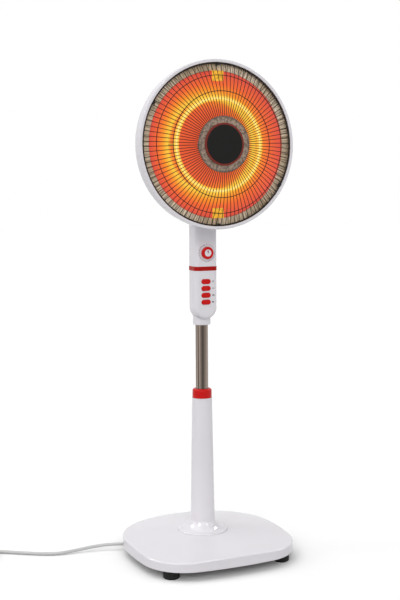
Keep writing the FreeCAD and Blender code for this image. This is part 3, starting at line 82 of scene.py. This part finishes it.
def add_camera():
    """Stands to the left of the heater's front, its distance taken from the mast's axis."""
    heading = CAMERA_AZIMUTH + CAMERA_YAW
    flat = Vector((-math.sin(heading), math.cos(heading), 0))
    forward = flat * math.cos(CAMERA_PITCH) - Vector((0, 0, math.sin(CAMERA_PITCH)))
    right = Vector((math.cos(heading), math.sin(heading), 0))
    up = right.cross(forward)
    side = right * math.cos(CAMERA_ROLL) + up * math.sin(CAMERA_ROLL)
    top = up * math.cos(CAMERA_ROLL) - right * math.sin(CAMERA_ROLL)
    place = Vector((CAMERA_DISTANCE * math.sin(CAMERA_AZIMUTH),
                    MAST_Y - CAMERA_DISTANCE * math.cos(CAMERA_AZIMUTH), CAMERA_HEIGHT))
    data = bpy.data.cameras.new("camera")
    data.sensor_fit = "VERTICAL"
    data.sensor_height = SENSOR
    data.lens = FOCAL_PIXELS * SENSOR / IMAGE_HEIGHT
    camera = bpy.data.objects.new("camera", data)
    scene.collection.objects.link(camera)
    turn = Matrix((side, top, -forward)).transposed().to_4x4()
    camera.matrix_world = Matrix.Translation(place) @ turn
    scene.camera = camera


add_camera()


# Node helpers

COLOUR_INPUTS = (6, 7)   # a mix node has its inputs once for each kind of value
COLOUR_OUTPUT = 2


class Nodes:
    """A node tree with a short way to add, set and link its nodes."""

    def __init__(self, tree):
        self.tree = tree

    def set(self, node, **sockets):
        for key, value in sockets.items():
            node.inputs[key.replace("_", " ")].default_value = value

    def add(self, kind, **values):
        node = self.tree.nodes.new("ShaderNode" + kind)
        for key, value in values.items():
            setattr(node, key, value)
        return node

    def link(self, out, into):
        self.tree.links.new(out, into)

    def feed(self, socket, value):
        """Links a node's output to a socket, or sets the socket to a number or a colour."""
        if isinstance(value, bpy.types.NodeSocket):
            self.link(value, socket)
        else:
            socket.default_value = (*value, 1.0) if isinstance(value, tuple) else value

    def axes(self, kind="Object"):
        """The X, Y and Z of a surface point's coordinates."""
        split = self.add("SeparateXYZ")
        self.link(self.add("TexCoord").outputs[kind], split.inputs["Vector"])
        return split.outputs

    def noise(self, scale, detail, stretch=(1, 1, 1)):
        """Noise on object coordinates, stretched for streaks."""
        mapping = self.add("Mapping")
        self.set(mapping, Scale=stretch)
        self.link(self.add("TexCoord").outputs["Object"], mapping.inputs["Vector"])
        node = self.add("TexNoise")
        self.set(node, Scale=scale, Detail=detail)
        self.link(mapping.outputs["Vector"], node.inputs["Vector"])
        return node.outputs["Fac"]

    def math(self, operation, *values):
        node = self.add("Math", operation=operation)
        for socket, value in zip(node.inputs, values):
            self.feed(socket, value)
        return node.outputs["Value"]

    def ramp(self, factor, stops):
        """Colours between the stops, which are pairs of a place and a colour."""
        node = self.add("ValToRGB")
        marks = node.color_ramp.elements
        while len(marks) < len(stops):
            marks.new(0.5)
        for mark, (place, colour) in zip(marks, stops):
            mark.position = place
            mark.color = (*colour, 1.0)
        self.link(factor, node.inputs["Fac"])
        return node.outputs["Color"]

    def span(self, factor, low, high):
        """A number that runs from low to high with the factor."""
        node = self.add("MapRange")
        self.set(node, To_Min=low, To_Max=high)
        self.link(factor, node.inputs["Value"])
        return node.outputs["Result"]

    def mix(self, first, second, factor=1.0, blend="MIX"):
        node = self.add("Mix", data_type="RGBA", blend_type=blend)
        self.feed(node.inputs["Factor"], factor)
        for number, value in zip(COLOUR_INPUTS, (first, second)):
            self.feed(node.inputs[number], value)
        return node.outputs[COLOUR_OUTPUT]

    def bump(self, height, strength, distance):
        node = self.add("Bump")
        self.set(node, Strength=strength, Distance=distance)
        self.link(height, node.inputs["Height"])
        return node.outputs["Normal"]


class Shader(Nodes):
    """A principled material."""

    def __init__(self, name, **sockets):
        self.material = bpy.data.materials.new(name)
        self.material.use_nodes = True
        super().__init__(self.material.node_tree)
        self.surface = self.tree.nodes["Principled BSDF"]
        self.set(self.surface, **sockets)

    def drive(self, **sockets):
        """Links node outputs to sockets of the surface."""
        for key, output in sockets.items():
            self.link(output, self.surface.inputs[key.replace("_", " ")])


# Colours

def tone(level):
    return (level, level, level)


def shade(colour, amount):
    return tuple(channel * amount for channel in colour)


def srgb(red, green, blue):
    """Display values, 0 to 255, as a linear colour."""
    shares = (red / 255, green / 255, blue / 255)
    return tuple(((c + 0.055) / 1.055) ** 2.4 if c > 0.04045 else c / 12.92 for c in shares)


NONE = tone(0.0)
FULL = tone(1.0)
# The mast's steel: its own tone, darkened as painted dark reflection.
MAST_STEEL_AND_DARK_REFLECTION = srgb(112, 101, 93)
SHEET = srgb(190, 170, 150)
BORDER = srgb(248, 228, 202)


# Kinds of material

def plastic(name, colour, rough, grain=900.0, dent=0.00002, shine=0.5):
    """Moulded plastic: a faint drift of tone, uneven gloss and a fine moulded skin."""
    look = Shader(name, IOR=1.5, Specular_IOR_Level=shine)
    drift = look.noise(scale=6.0, detail=2.0)
    gloss = look.noise(scale=40.0, detail=4.0)
    skin = look.noise(scale=grain, detail=2.0)
    look.drive(
        Base_Color=look.ramp(drift, [(0.3, shade(colour, 0.985)), (0.7, shade(colour, 1.012))]),
        Roughness=look.span(gloss, rough * 0.85, rough * 1.2),
        Normal=look.bump(skin, strength=0.2, distance=dent))
    return look


def metal(name, colour, rough, scale):
    """Plain metal with a fine mottle in its tone and gloss."""
    look = Shader(name, Metallic=1.0)
    mottle = look.noise(scale, detail=6.0)
    look.drive(
        Base_Color=look.ramp(mottle, [(0.25, shade(colour, 0.88)), (0.75, shade(colour, 1.12))]),
        Roughness=look.span(mottle, rough * 0.7, rough * 1.4),
        Normal=look.bump(mottle, strength=0.15, distance=0.00002))
    return look


def steel_with_painted_reflections(name):
    """The polished mast: steel with long fine streaks down the tube, its colour darkened and streaked as
    painted reflections of the surroundings.
    """
    look = Shader(name, Metallic=1.0)
    streaks = look.noise(scale=4.0, detail=2.0, stretch=(50, 50, 0.2))
    # Painted reflections: dark and bright streaks in the colour stand in for the surroundings mirrored in
    # the tube.
    stops = [(0.40, shade(MAST_STEEL_AND_DARK_REFLECTION, 0.45)), (0.5, MAST_STEEL_AND_DARK_REFLECTION), (0.60, shade(MAST_STEEL_AND_DARK_REFLECTION, 2.1))]
    look.drive(
        Base_Color=look.ramp(streaks, stops),
        Roughness=look.span(streaks, 0.14, 0.26),
        Normal=look.bump(streaks, strength=0.12, distance=0.00002))
    return look


def glow(name, colour, strength, base, uneven=0.08, **sockets):
    """A surface that shines, a little unevenly."""
    look = Shader(name, Base_Color=(*base, 1.0), Emission_Strength=strength, Roughness=0.3, **sockets)
    drift = look.noise(scale=160.0, detail=3.0)
    stops = [(0.3, shade(colour, 1 - uneven)), (0.7, shade(colour, 1 + uneven))]
    look.drive(Emission_Color=look.ramp(drift, stops))
    return look


# Dish and hub: radii in millimetres from the dish's axis; painted rib shading in streaks per radian

LAMP_RING = 99.3
# The bowl's glow is painted: emission that stands in for the ring lamp's light and reflection, centred on
# this ring.
GLOW_RING = LAMP_RING + 3.5   # the bowl slopes, so its part nearest to the lamp lies outside the ring
GLOW = [   # by the distance out from the glow's ring
    (-24, srgb(236, 98, 56)),
    (-9, srgb(245, 130, 50)),
    (0, srgb(252, 205, 70)),
    (16, srgb(248, 146, 48)),
    (30, srgb(238, 104, 54)),
]
GLOW_FADE = 156.5
GLOW_END = 158.8
BOWL_EDGE = 157.5
BORDER_START = 159.2
DISH_EDGE = 180.0
HUB_SHADE = 55.0
HUB_EDGE = box("grille_hub")[1].x / MM
FINE_RIB_SHADING = 36.0
BROAD_RIB_SHADING = 1.4


def by_radius(look, stops):
    """Colours by the distance of a surface point from the dish's axis."""
    point = look.axes()
    up = look.math("SUBTRACT", point["Z"], HEAD_Z)
    squares = look.math("ADD", look.math("POWER", point["X"], 2.0), look.math("POWER", up, 2.0))
    radius = look.math("MULTIPLY", look.math("SQRT", squares), 1 / MM)
    share = look.math("DIVIDE", radius, DISH_EDGE)
    return look.ramp(share, [(place / DISH_EDGE, colour) for place, colour in stops])


def painted_rib_shading(look, per_radian, low):
    """Painted highlights and shade in streaks that run out from the dish's axis, standing in for the light
    on the flutes of the pressed sheet.
    """
    point = look.axes()
    up = look.math("SUBTRACT", point["Z"], HEAD_Z)
    noise = look.add("TexNoise", noise_dimensions="1D")
    look.set(noise, Scale=per_radian, Detail=1.0)
    look.link(look.math("ARCTAN2", point["X"], up), noise.inputs["W"])
    return look.ramp(noise.outputs["Fac"], [(0.36, low), (0.64, FULL)])


def dish_with_painted_glow(name):
    """The front carries a painted glow: emission that stands in for the ring lamp's light and its
    reflection on the bowl, brightest round the lamp and fading to both sides; border and back are sheet
    with painted rib shading.
    """
    look = Shader(name, Emission_Strength=1.0)
    faces_front = look.math("LESS_THAN", look.axes("Normal")["Y"], 0.0)
    # The bowl's own colour is kept dark, so that the painted glow makes its look.
    front = by_radius(look, [
        (0.0, (0.10, 0.03, 0.015)), (BOWL_EDGE, (0.10, 0.03, 0.02)),
        (BORDER_START, BORDER), (DISH_EDGE, shade(BORDER, 0.85))])
    # Painted glow: the lamp's light and its reflection on the bowl's front, set by radius.
    shine = by_radius(look, [
        (0.0, srgb(216, 78, 54)), *((GLOW_RING + out, colour) for out, colour in GLOW),
        (GLOW_FADE, srgb(214, 78, 66)), (GLOW_END, NONE)])
    sheet = look.mix(SHEET, front, faces_front)
    # Painted highlights and shade of the flutes: fine streaks, and broad lighter and darker patches round
    # the dish.
    for per_radian, low in ((FINE_RIB_SHADING, (0.42, 0.40, 0.36)), (BROAD_RIB_SHADING, (0.70, 0.64, 0.55))):
        sheet = look.mix(sheet, painted_rib_shading(look, per_radian, low), blend="MULTIPLY")
    look.drive(
        Base_Color=sheet,
        Emission_Color=look.mix(NONE, shine, faces_front),
        Metallic=by_radius(look, [(0.0, FULL), (BOWL_EDGE, FULL), (BORDER_START, tone(0.2))]),
        Roughness=look.span(look.noise(scale=70.0, detail=5.0), 0.3, 0.42))
    return look


def woven(name, colour, pitch):
    """A pressed metal plate with a fine woven pattern, mottled and dark at its rim."""
    look = Shader(name, Metallic=0.4, Roughness=0.45)
    point = look.axes()
    turns = 2 * math.pi / pitch
    across = look.math("SINE", look.math("MULTIPLY", point["X"], turns))
    along = look.math("SINE", look.math("MULTIPLY", point["Z"], turns))
    weave = look.math("MULTIPLY", across, along)
    level = look.math("ADD", look.math("MULTIPLY", weave, 0.5), 0.5)
    plate = look.ramp(level, [(0.1, shade(colour, 0.45)), (0.9, shade(colour, 1.25))])
    mottle = look.ramp(look.noise(scale=210.0, detail=2.0), [(0.38, tone(0.42)), (0.62, FULL)])
    rim = by_radius(look, [(HUB_SHADE, FULL), (HUB_EDGE, (0.35, 0.33, 0.32))])
    for patches in (mottle, rim):
        plate = look.mix(plate, patches, blend="MULTIPLY")
    look.drive(Base_Color=plate, Normal=look.bump(level, strength=0.6, distance=0.0003))
    return look


# Materials

white = plastic("white_plastic", srgb(224, 221, 226), 0.09, dent=0.000003)
red = plastic("red_plastic", srgb(200, 14, 13), 0.2, dent=0.000004, shine=0.16)
# The trim band's red is a darker copy of the red plastic: painted shade on the band.
shaded_band_red = plastic("shaded_band_red", srgb(168, 16, 14), 0.3, dent=0.000006, shine=0.12)
ring_red = plastic("ring_red", srgb(126, 52, 44), 0.35, dent=0.000006, shine=0.12)
print_ink = plastic("printed_ink", srgb(44, 38, 38), 0.5, grain=2600.0, shine=0.2)
pointer_ink = plastic("pointer_ink", srgb(120, 40, 40), 0.45, grain=2600.0, shine=0.2)
black = plastic("black_plastic", srgb(20, 19, 18), 0.42, grain=1500.0, shine=0.15)
grey = plastic("grey_plastic", srgb(120, 120, 122), 0.5)
cord_grey = plastic("cord_jacket", srgb(196, 196, 196), 0.45, grain=2200.0)
rubber = plastic("rubber", srgb(16, 15, 14), 0.7, grain=1200.0, dent=0.00008, shine=0.3)
wire_black = plastic("black_enamel", srgb(26, 22, 20), 0.35, grain=2500.0, shine=0.2)
ceramic = plastic("white_ceramic", srgb(232, 226, 210), 0.55, grain=1800.0, dent=0.00005)
steel = metal("zinc_steel", (0.55, 0.55, 0.56), 0.32, scale=90.0)
brass = metal("plug_brass", (0.78, 0.62, 0.30), 0.25, scale=90.0)
iron = metal("cast_iron", (0.10, 0.10, 0.10), 0.6, scale=120.0)
mast_steel = steel_with_painted_reflections("mast_steel")
dish = dish_with_painted_glow("dish_sheet")
lamp = glow("glowing_quartz", (1.0, 0.62, 0.07), 0.95, base=(0.2, 0.12, 0.03), Alpha=0.45)
hot_wire = glow("glowing_wire", (1.0, 0.93, 0.50), 1.4, base=(0.3, 0.2, 0.1))
# The stays glow with painted lamplight: emission that stands in for the ring lamp's light falling on them.
painted_lit_stay = glow("stay_painted_lamplight", (0.85, 0.42, 0.01), 0.85, base=(0.12, 0.06, 0.01), uneven=0.4)
hub = woven("woven_hub", srgb(172, 150, 132), pitch=0.0026)

LOOKS = {
    white: ["base_cover", "column_cover", "mast_socket", "control_front", "control_rear", "neck_front",
            "neck_rear", "knob_cap", "tilt_yoke", "head_bracket", "rear_shell", "front_bezel"],
    red: ["lock_collar", "timer_knob", *BUTTONS],
    shaded_band_red: ["trim_band"],
    ring_red: ["badge_ring"],
    black: ["badge", "cord_gland", "cord_tie"],
    grey: ["tip_switch", "collet", "mast_bush", "switch_block", "swing_bush", "terminal_block"],
    cord_grey: ["cord_lead", "cord_coil", "plug_body"],
    rubber: ["rubber_feet"],
    steel: ["foot_screws", "tube_flange", "flange_bolts", "outer_tube", "housing_screws", "timer_switch",
            "swing_motor", "swing_shaft", "tilt_bolt", "tilt_nut", "head_screws", "thermal_cutout",
            "dish_hub", "lamp_posts", "dish_spacer"],
    mast_steel: ["mast_tube"],
    brass: ["plug_pins"],
    iron: ["ballast_weight"],
    wire_black: ["base_plate", "grille", "grille_clips"],
    ceramic: ["lamp_legs"],
    dish: ["reflector"],
    lamp: ["lamp_tube"],
    hot_wire: ["filament"],
    painted_lit_stay: ["grille_stays"],
    hub: ["grille_hub"],
}
for look, names in LOOKS.items():
    for name in names:
        mesh = nodes[name].data
        mesh.materials.clear()
        mesh.materials.append(look.material)


# Pieces

def finished(name, mesh):
    """A bmesh as mesh data, with its faces turned one way."""
    data = bpy.data.meshes.new(name)
    bmesh.ops.recalc_face_normals(mesh, faces=mesh.faces)
    mesh.to_mesh(data)
    mesh.free()
    return data


def piece(name, data, look, body):
    thing = bpy.data.objects.new(name, data)
    scene.collection.objects.link(thing)
    data.materials.append(look.material)
    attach(thing, body)
    return thing


# Heating wire, wound inside the ring lamp

WIND_RADIUS = 0.0017
WIRE_RADIUS = 0.0005
WIND_TURNS = 260
TURN_STEPS = 8
WIRE_SIDES = 5


def round_axis(angle, reach, y):
    """A point at that distance from the dish's axis; the angle starts at the top."""
    return Vector((reach * math.sin(angle), y, HEAD_Z + reach * math.cos(angle)))


def wound(angle):
    """A point of the winding's centre line; the angle runs once round the lamp."""
    lean = angle * WIND_TURNS
    reach = LAMP_RING * MM + WIND_RADIUS * math.cos(lean)
    return round_axis(angle, reach, WIRE_Y + WIND_RADIUS * math.sin(lean))


def add_winding():
    mesh = bmesh.new()
    count = WIND_TURNS * TURN_STEPS
    step = 2 * math.pi / count
    loops = []
    for number in range(count):
        angle = number * step
        here = wound(angle)
        along = (wound(angle + step / 2) - wound(angle - step / 2)).normalized()
        out = here - round_axis(angle, LAMP_RING * MM, WIRE_Y)
        out = (out - along * out.dot(along)).normalized()
        over = along.cross(out)
        loop = []
        for side in range(WIRE_SIDES):
            turn = 2 * math.pi * side / WIRE_SIDES
            rim = here + WIRE_RADIUS * (out * math.cos(turn) + over * math.sin(turn))
            loop.append(mesh.verts.new(rim))
        loops.append(loop)
    for number in range(count):
        first, second = loops[number], loops[(number + 1) % count]
        for side in range(WIRE_SIDES):
            after = (side + 1) % WIRE_SIDES
            mesh.faces.new((first[side], first[after], second[after], second[side]))
    winding = piece("heating_wire", finished("heating_wire", mesh), hot_wire, "head")
    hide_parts("filament")


# Print on the control column's front

FLAT_HALF = 0.0168
EDGE_ROUND = 0.010
PRINT_LIFT = 0.00006


def face_point(x, z):
    """A point just off the control column's front, which rounds away past its flat part."""
    past = max(0.0, abs(x) - FLAT_HALF)
    drop = EDGE_ROUND - math.sqrt(EDGE_ROUND ** 2 - past ** 2)
    return Vector((x, FACE_Y + drop - PRINT_LIFT, z))


def ring_segment(mesh, centre, inner, outer, start, end, steps):
    """A flat piece of a ring on the front; angles in degrees, clockwise from the top."""
    rows = []
    for step in range(steps + 1):
        angle = math.radians(start + (end - start) * step / steps)
        row = []
        for radius in (inner, outer):
            x = centre[0] + radius * math.sin(angle)
            z = centre[1] + radius * math.cos(angle)
            row.append(mesh.verts.new(face_point(x, z)))
        rows.append(row)
    for (a, b), (c, d) in zip(rows, rows[1:]):
        mesh.faces.new((a, b, d, c))


# Timer scale; angles in degrees

SCALE_RADIUS = 0.01925
SCALE_LINE = 0.0003
SCALE_OPEN = 8
SCALE_STEPS = 120
TICKS = 30
TICK_START = 20
TICK_SWEEP = 320
TICK_OUT = 0.0002
TICK_IN = 0.0006
TICK_IN_GROWTH = 0.0010
TICK_SPAN = 1.6
TICK_SPAN_GROWTH = 3.4
TICK_STEPS = 2
ZERO_OUT = 0.0010
ZERO_IN = 0.0008
ZERO_SPAN = 4.4


def add_scale():
    """A fine ring with ticks that thicken as the set time grows, and a mark at zero."""
    mesh = bmesh.new()

    def segment(inward, outward, start, end, steps=TICK_STEPS):
        ring_segment(mesh, (0.0, KNOB_Z), SCALE_RADIUS - inward, SCALE_RADIUS + outward, start, end, steps)

    segment(SCALE_LINE / 2, SCALE_LINE / 2, SCALE_OPEN, 360 - SCALE_OPEN, SCALE_STEPS)
    for number in range(TICKS + 1):
        grow = number / TICKS
        angle = TICK_START + number * TICK_SWEEP / TICKS
        half = (TICK_SPAN + TICK_SPAN_GROWTH * grow) / 2
        segment(TICK_IN + TICK_IN_GROWTH * grow, TICK_OUT, angle - half, angle + half)
    segment(ZERO_IN, ZERO_OUT, -ZERO_SPAN / 2, ZERO_SPAN / 2)
    piece("timer_scale", finished("timer_scale", mesh), print_ink, "mast")


# Button marks

MARK_X = 0.0156
ROUND_X = 0.0146
ROUND_RADIUS = 0.0020
ROUND_STEPS = 24
RING_HOLE = 0.0012
DOT_HOLE = 0.0004
BAR_WIDE = 0.0060
BAR_TALL = 0.0012
BAR_STEPS = 4
TWIN_TALL = 0.0011
TWIN_OFFSET = 0.0011


def bar(mesh, z, tall):
    """A flat level bar on the front, beside a button."""
    columns = []
    for step in range(BAR_STEPS + 1):
        x = MARK_X - BAR_WIDE / 2 + BAR_WIDE * step / BAR_STEPS
        columns.append([mesh.verts.new(face_point(x, z + side * tall / 2)) for side in (-1, 1)])
    for (a, b), (c, d) in zip(columns, columns[1:]):
        mesh.faces.new((a, c, d, b))


def add_button_marks():
    """Plain marks beside the buttons: an open ring, one bar, two bars and a dot with a pinhole."""
    mesh = bmesh.new()
    open_z, single_z, twin_z, dot_z = BUTTON_HEIGHTS
    ring_segment(mesh, (ROUND_X, open_z), RING_HOLE, ROUND_RADIUS, 0, 360, ROUND_STEPS)
    bar(mesh, single_z, BAR_TALL)
    for side in (1, -1):
        bar(mesh, twin_z + side * TWIN_OFFSET, TWIN_TALL)
    ring_segment(mesh, (ROUND_X, dot_z), DOT_HOLE, ROUND_RADIUS, 0, 360, ROUND_STEPS)
    piece("button_marks", finished("button_marks", mesh), print_ink, "mast")


# Arrow on the knob's cap

ARROW_STEM = 0.0007
ARROW_HEAD = 0.0022
ARROW_FOOT = -0.0005
ARROW_NECK = 0.0034
ARROW_TIP = 0.0062
ARROW_LIFT = 0.0002
ARROW_SINK = 0.0005


def add_arrow():
    """The printed arrow over the raised pointer of the knob's cap."""
    mesh = bmesh.new()
    outline = [(-ARROW_STEM, ARROW_FOOT), (ARROW_STEM, ARROW_FOOT), (ARROW_STEM, ARROW_NECK),
               (ARROW_HEAD, ARROW_NECK), (0.0, ARROW_TIP), (-ARROW_HEAD, ARROW_NECK),
               (-ARROW_STEM, ARROW_NECK)]
    front = [mesh.verts.new((x, CAP_Y - ARROW_LIFT, KNOB_Z + z)) for x, z in outline]
    back = [mesh.verts.new((x, CAP_Y + ARROW_SINK, KNOB_Z + z)) for x, z in outline]
    mesh.faces.new(front)
    for number in range(len(outline)):
        after = (number + 1) % len(outline)
        mesh.faces.new((front[number], front[after], back[after], back[number]))
    piece("knob_arrow", finished("knob_arrow", mesh), pointer_ink, "knob")


add_winding()
add_scale()
add_button_marks()
add_arrow()


# Mains cord, on the points of its route and of its put-away coil

CORD_RADIUS = 0.0036
CORD_EXIT = (-0.146, 0.087, 0.015)
CORD_ROUTE = [
    CORD_EXIT,
    (-0.186, 0.106, 0.0146),
    (-0.230, 0.1195, 0.0106),
    (-0.274, 0.121, 0.0064),
    (-0.312, 0.121, 0.0046),
    (-0.347, 0.135, 0.0040),
    (-0.387, 0.161, 0.0042),
    (-0.431, 0.1905, 0.0046),
]
COIL_ENTRY = (-0.477, 0.217)
COIL_RADIUS = 0.049
COIL_PITCH = 0.0078
COIL_LIFT = 0.0077
COIL_LOW = 0.0046
COIL_TURNS = 5
COIL_TAIL = 0.024
COIL_STEPS = 20
BEVEL_STEPS = 5
SPAN_STEPS = 6
CORD_ORDER = 3


def coil_points():
    """The coil spirals in on the floor, climbs a layer and spirals out on top."""
    way = Vector(COIL_ENTRY) - Vector(CORD_ROUTE[-1][:2])
    way.normalize()
    entry = math.atan2(-way.x, way.y)
    out = Vector((math.cos(entry), math.sin(entry)))
    centre = Vector(COIL_ENTRY) - out * COIL_RADIUS
    rate = COIL_PITCH / (2 * math.pi)
    halfway = COIL_TURNS * math.pi
    points = []
    for step in range(COIL_TURNS * COIL_STEPS + 1):
        angle = 2 * math.pi * step / COIL_STEPS
        past = angle - halfway
        if abs(past) < math.pi / 2:
            spread = past ** 2 / math.pi + math.pi / 4
            share = past / math.pi + 0.5
            lift = 3 * share ** 2 - 2 * share ** 3
        else:
            spread = abs(past)
            lift = 1.0 if past > 0 else 0.0
        radius = COIL_RADIUS - rate * (halfway - spread)
        place = centre + radius * Vector((math.cos(entry + angle), math.sin(entry + angle)))
        points.append((place.x, place.y, COIL_LOW + lift * COIL_LIFT))
    last, before = Vector(points[-1]), Vector(points[-2])
    heading = (last - before).normalized()
    turn = Matrix.Rotation(math.pi / COIL_STEPS, 3, "Z")
    points.append(tuple(last + turn @ heading * COIL_TAIL))
    return points


def add_cord():
    curve = bpy.data.curves.new("cord", "CURVE")
    curve.dimensions = "3D"
    curve.bevel_depth = CORD_RADIUS
    curve.bevel_resolution = BEVEL_STEPS
    curve.resolution_u = SPAN_STEPS
    curve.use_fill_caps = True
    spline = curve.splines.new("NURBS")
    points = CORD_ROUTE + coil_points()
    spline.points.add(len(points) - 1)
    for point, place in zip(spline.points, points):
        point.co = (*place, 1.0)
    spline.order_u = CORD_ORDER
    spline.use_endpoint_u = True
    cord = piece("cord", curve, cord_grey, "base")
    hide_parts("cord_lead", "cord_coil")


add_cord()


# Stage

FLOOR_HALF = 20.0
FLOOR_BOUNCE = 0.55
FLOOR_LIFT = 0.03
SKY_FILL = 0.55
SKY_SEEN = 1.0


def add_floor():
    """White where it is seen or mirrored, greyer for the light that it throws back."""
    mesh = bpy.data.meshes.new("floor")
    corners = [(-1, -1), (1, -1), (1, 1), (-1, 1)]
    mesh.from_pydata([(x * FLOOR_HALF, y * FLOOR_HALF, 0) for x, y in corners], [], [(0, 1, 2, 3)])
    floor = bpy.data.objects.new("floor", mesh)
    scene.collection.objects.link(floor)
    look = Shader("pale_floor", Roughness=0.9, Specular_IOR_Level=0.0, Emission_Color=(*FULL, 1.0))
    rays = look.add("LightPath").outputs
    seen = look.math("MAXIMUM", rays["Is Camera Ray"], rays["Is Glossy Ray"])
    look.drive(
        Base_Color=look.ramp(seen, [(0.0, tone(FLOOR_BOUNCE)), (1.0, FULL)]),
        Emission_Strength=look.math("MULTIPLY", seen, FLOOR_LIFT))
    mesh.materials.append(look.material)


def add_world():
    """White where it is seen, mirrored or looked through to, dimmer as the light that fills the shade."""
    world = bpy.data.worlds.new("studio")
    world.use_nodes = True
    sky = Nodes(world.node_tree)
    background = sky.tree.nodes["Background"]
    sky.set(background, Color=(*FULL, 1.0))
    rays = sky.add("LightPath").outputs
    clear = sky.math("MAXIMUM", rays["Is Glossy Ray"], rays["Is Transmission Ray"])
    seen = sky.math("MAXIMUM", rays["Is Camera Ray"], clear)
    sky.link(sky.span(seen, SKY_FILL, SKY_SEEN), background.inputs["Strength"])
    scene.world = world


add_floor()
add_world()


# Lamps; angles in degrees

SOFT_SPREAD = 50
SPARK_ELEVATION = 30
SPARK_SPREAD = 11
SPARKS = [(-110, 0.2), (-50, 0.22), (-4, 0.22), (70, 0.15)]
GLINT_STRENGTH = 0.9
GLINT_SPREAD = 15
GLINTS = [(-130, 44), (-62, 45), (18, 44), (108, 44)]


def add_sun(name, azimuth, elevation, strength, spread):
    """A distant lamp; azimuth 0 shines from the front of the heater."""
    data = bpy.data.lights.new(name, "SUN")
    data.energy = strength
    data.angle = math.radians(spread)
    sun = bpy.data.objects.new(name, data)
    scene.collection.objects.link(sun)
    a, e = math.radians(azimuth), math.radians(elevation)
    towards = Vector((math.sin(a) * math.cos(e), -math.cos(a) * math.cos(e), math.sin(e)))
    sun.rotation_euler = towards.to_track_quat("Z", "Y").to_euler()
    return sun


def add_glints():
    """Lamps that show only as highlights on the column and the base."""
    stand = bpy.data.collections.new("stand")
    for name in ("base_cover", "column_cover"):
        stand.objects.link(nodes[name])
    for azimuth, elevation in GLINTS:
        glint = add_sun(f"glint_{azimuth}", azimuth, elevation, GLINT_STRENGTH, GLINT_SPREAD)
        glint.visible_diffuse = False
        glint.light_linking.receiver_collection = stand


add_sun("key", azimuth=-25, elevation=25, strength=0.65, spread=SOFT_SPREAD)
add_sun("top", azimuth=-110, elevation=65, strength=0.85, spread=SOFT_SPREAD)
for number, (azimuth, strength) in enumerate(SPARKS):
    add_sun(f"spark_{number}", azimuth, SPARK_ELEVATION, strength, SPARK_SPREAD)
add_glints()

scene.view_settings.view_transform = "Standard"
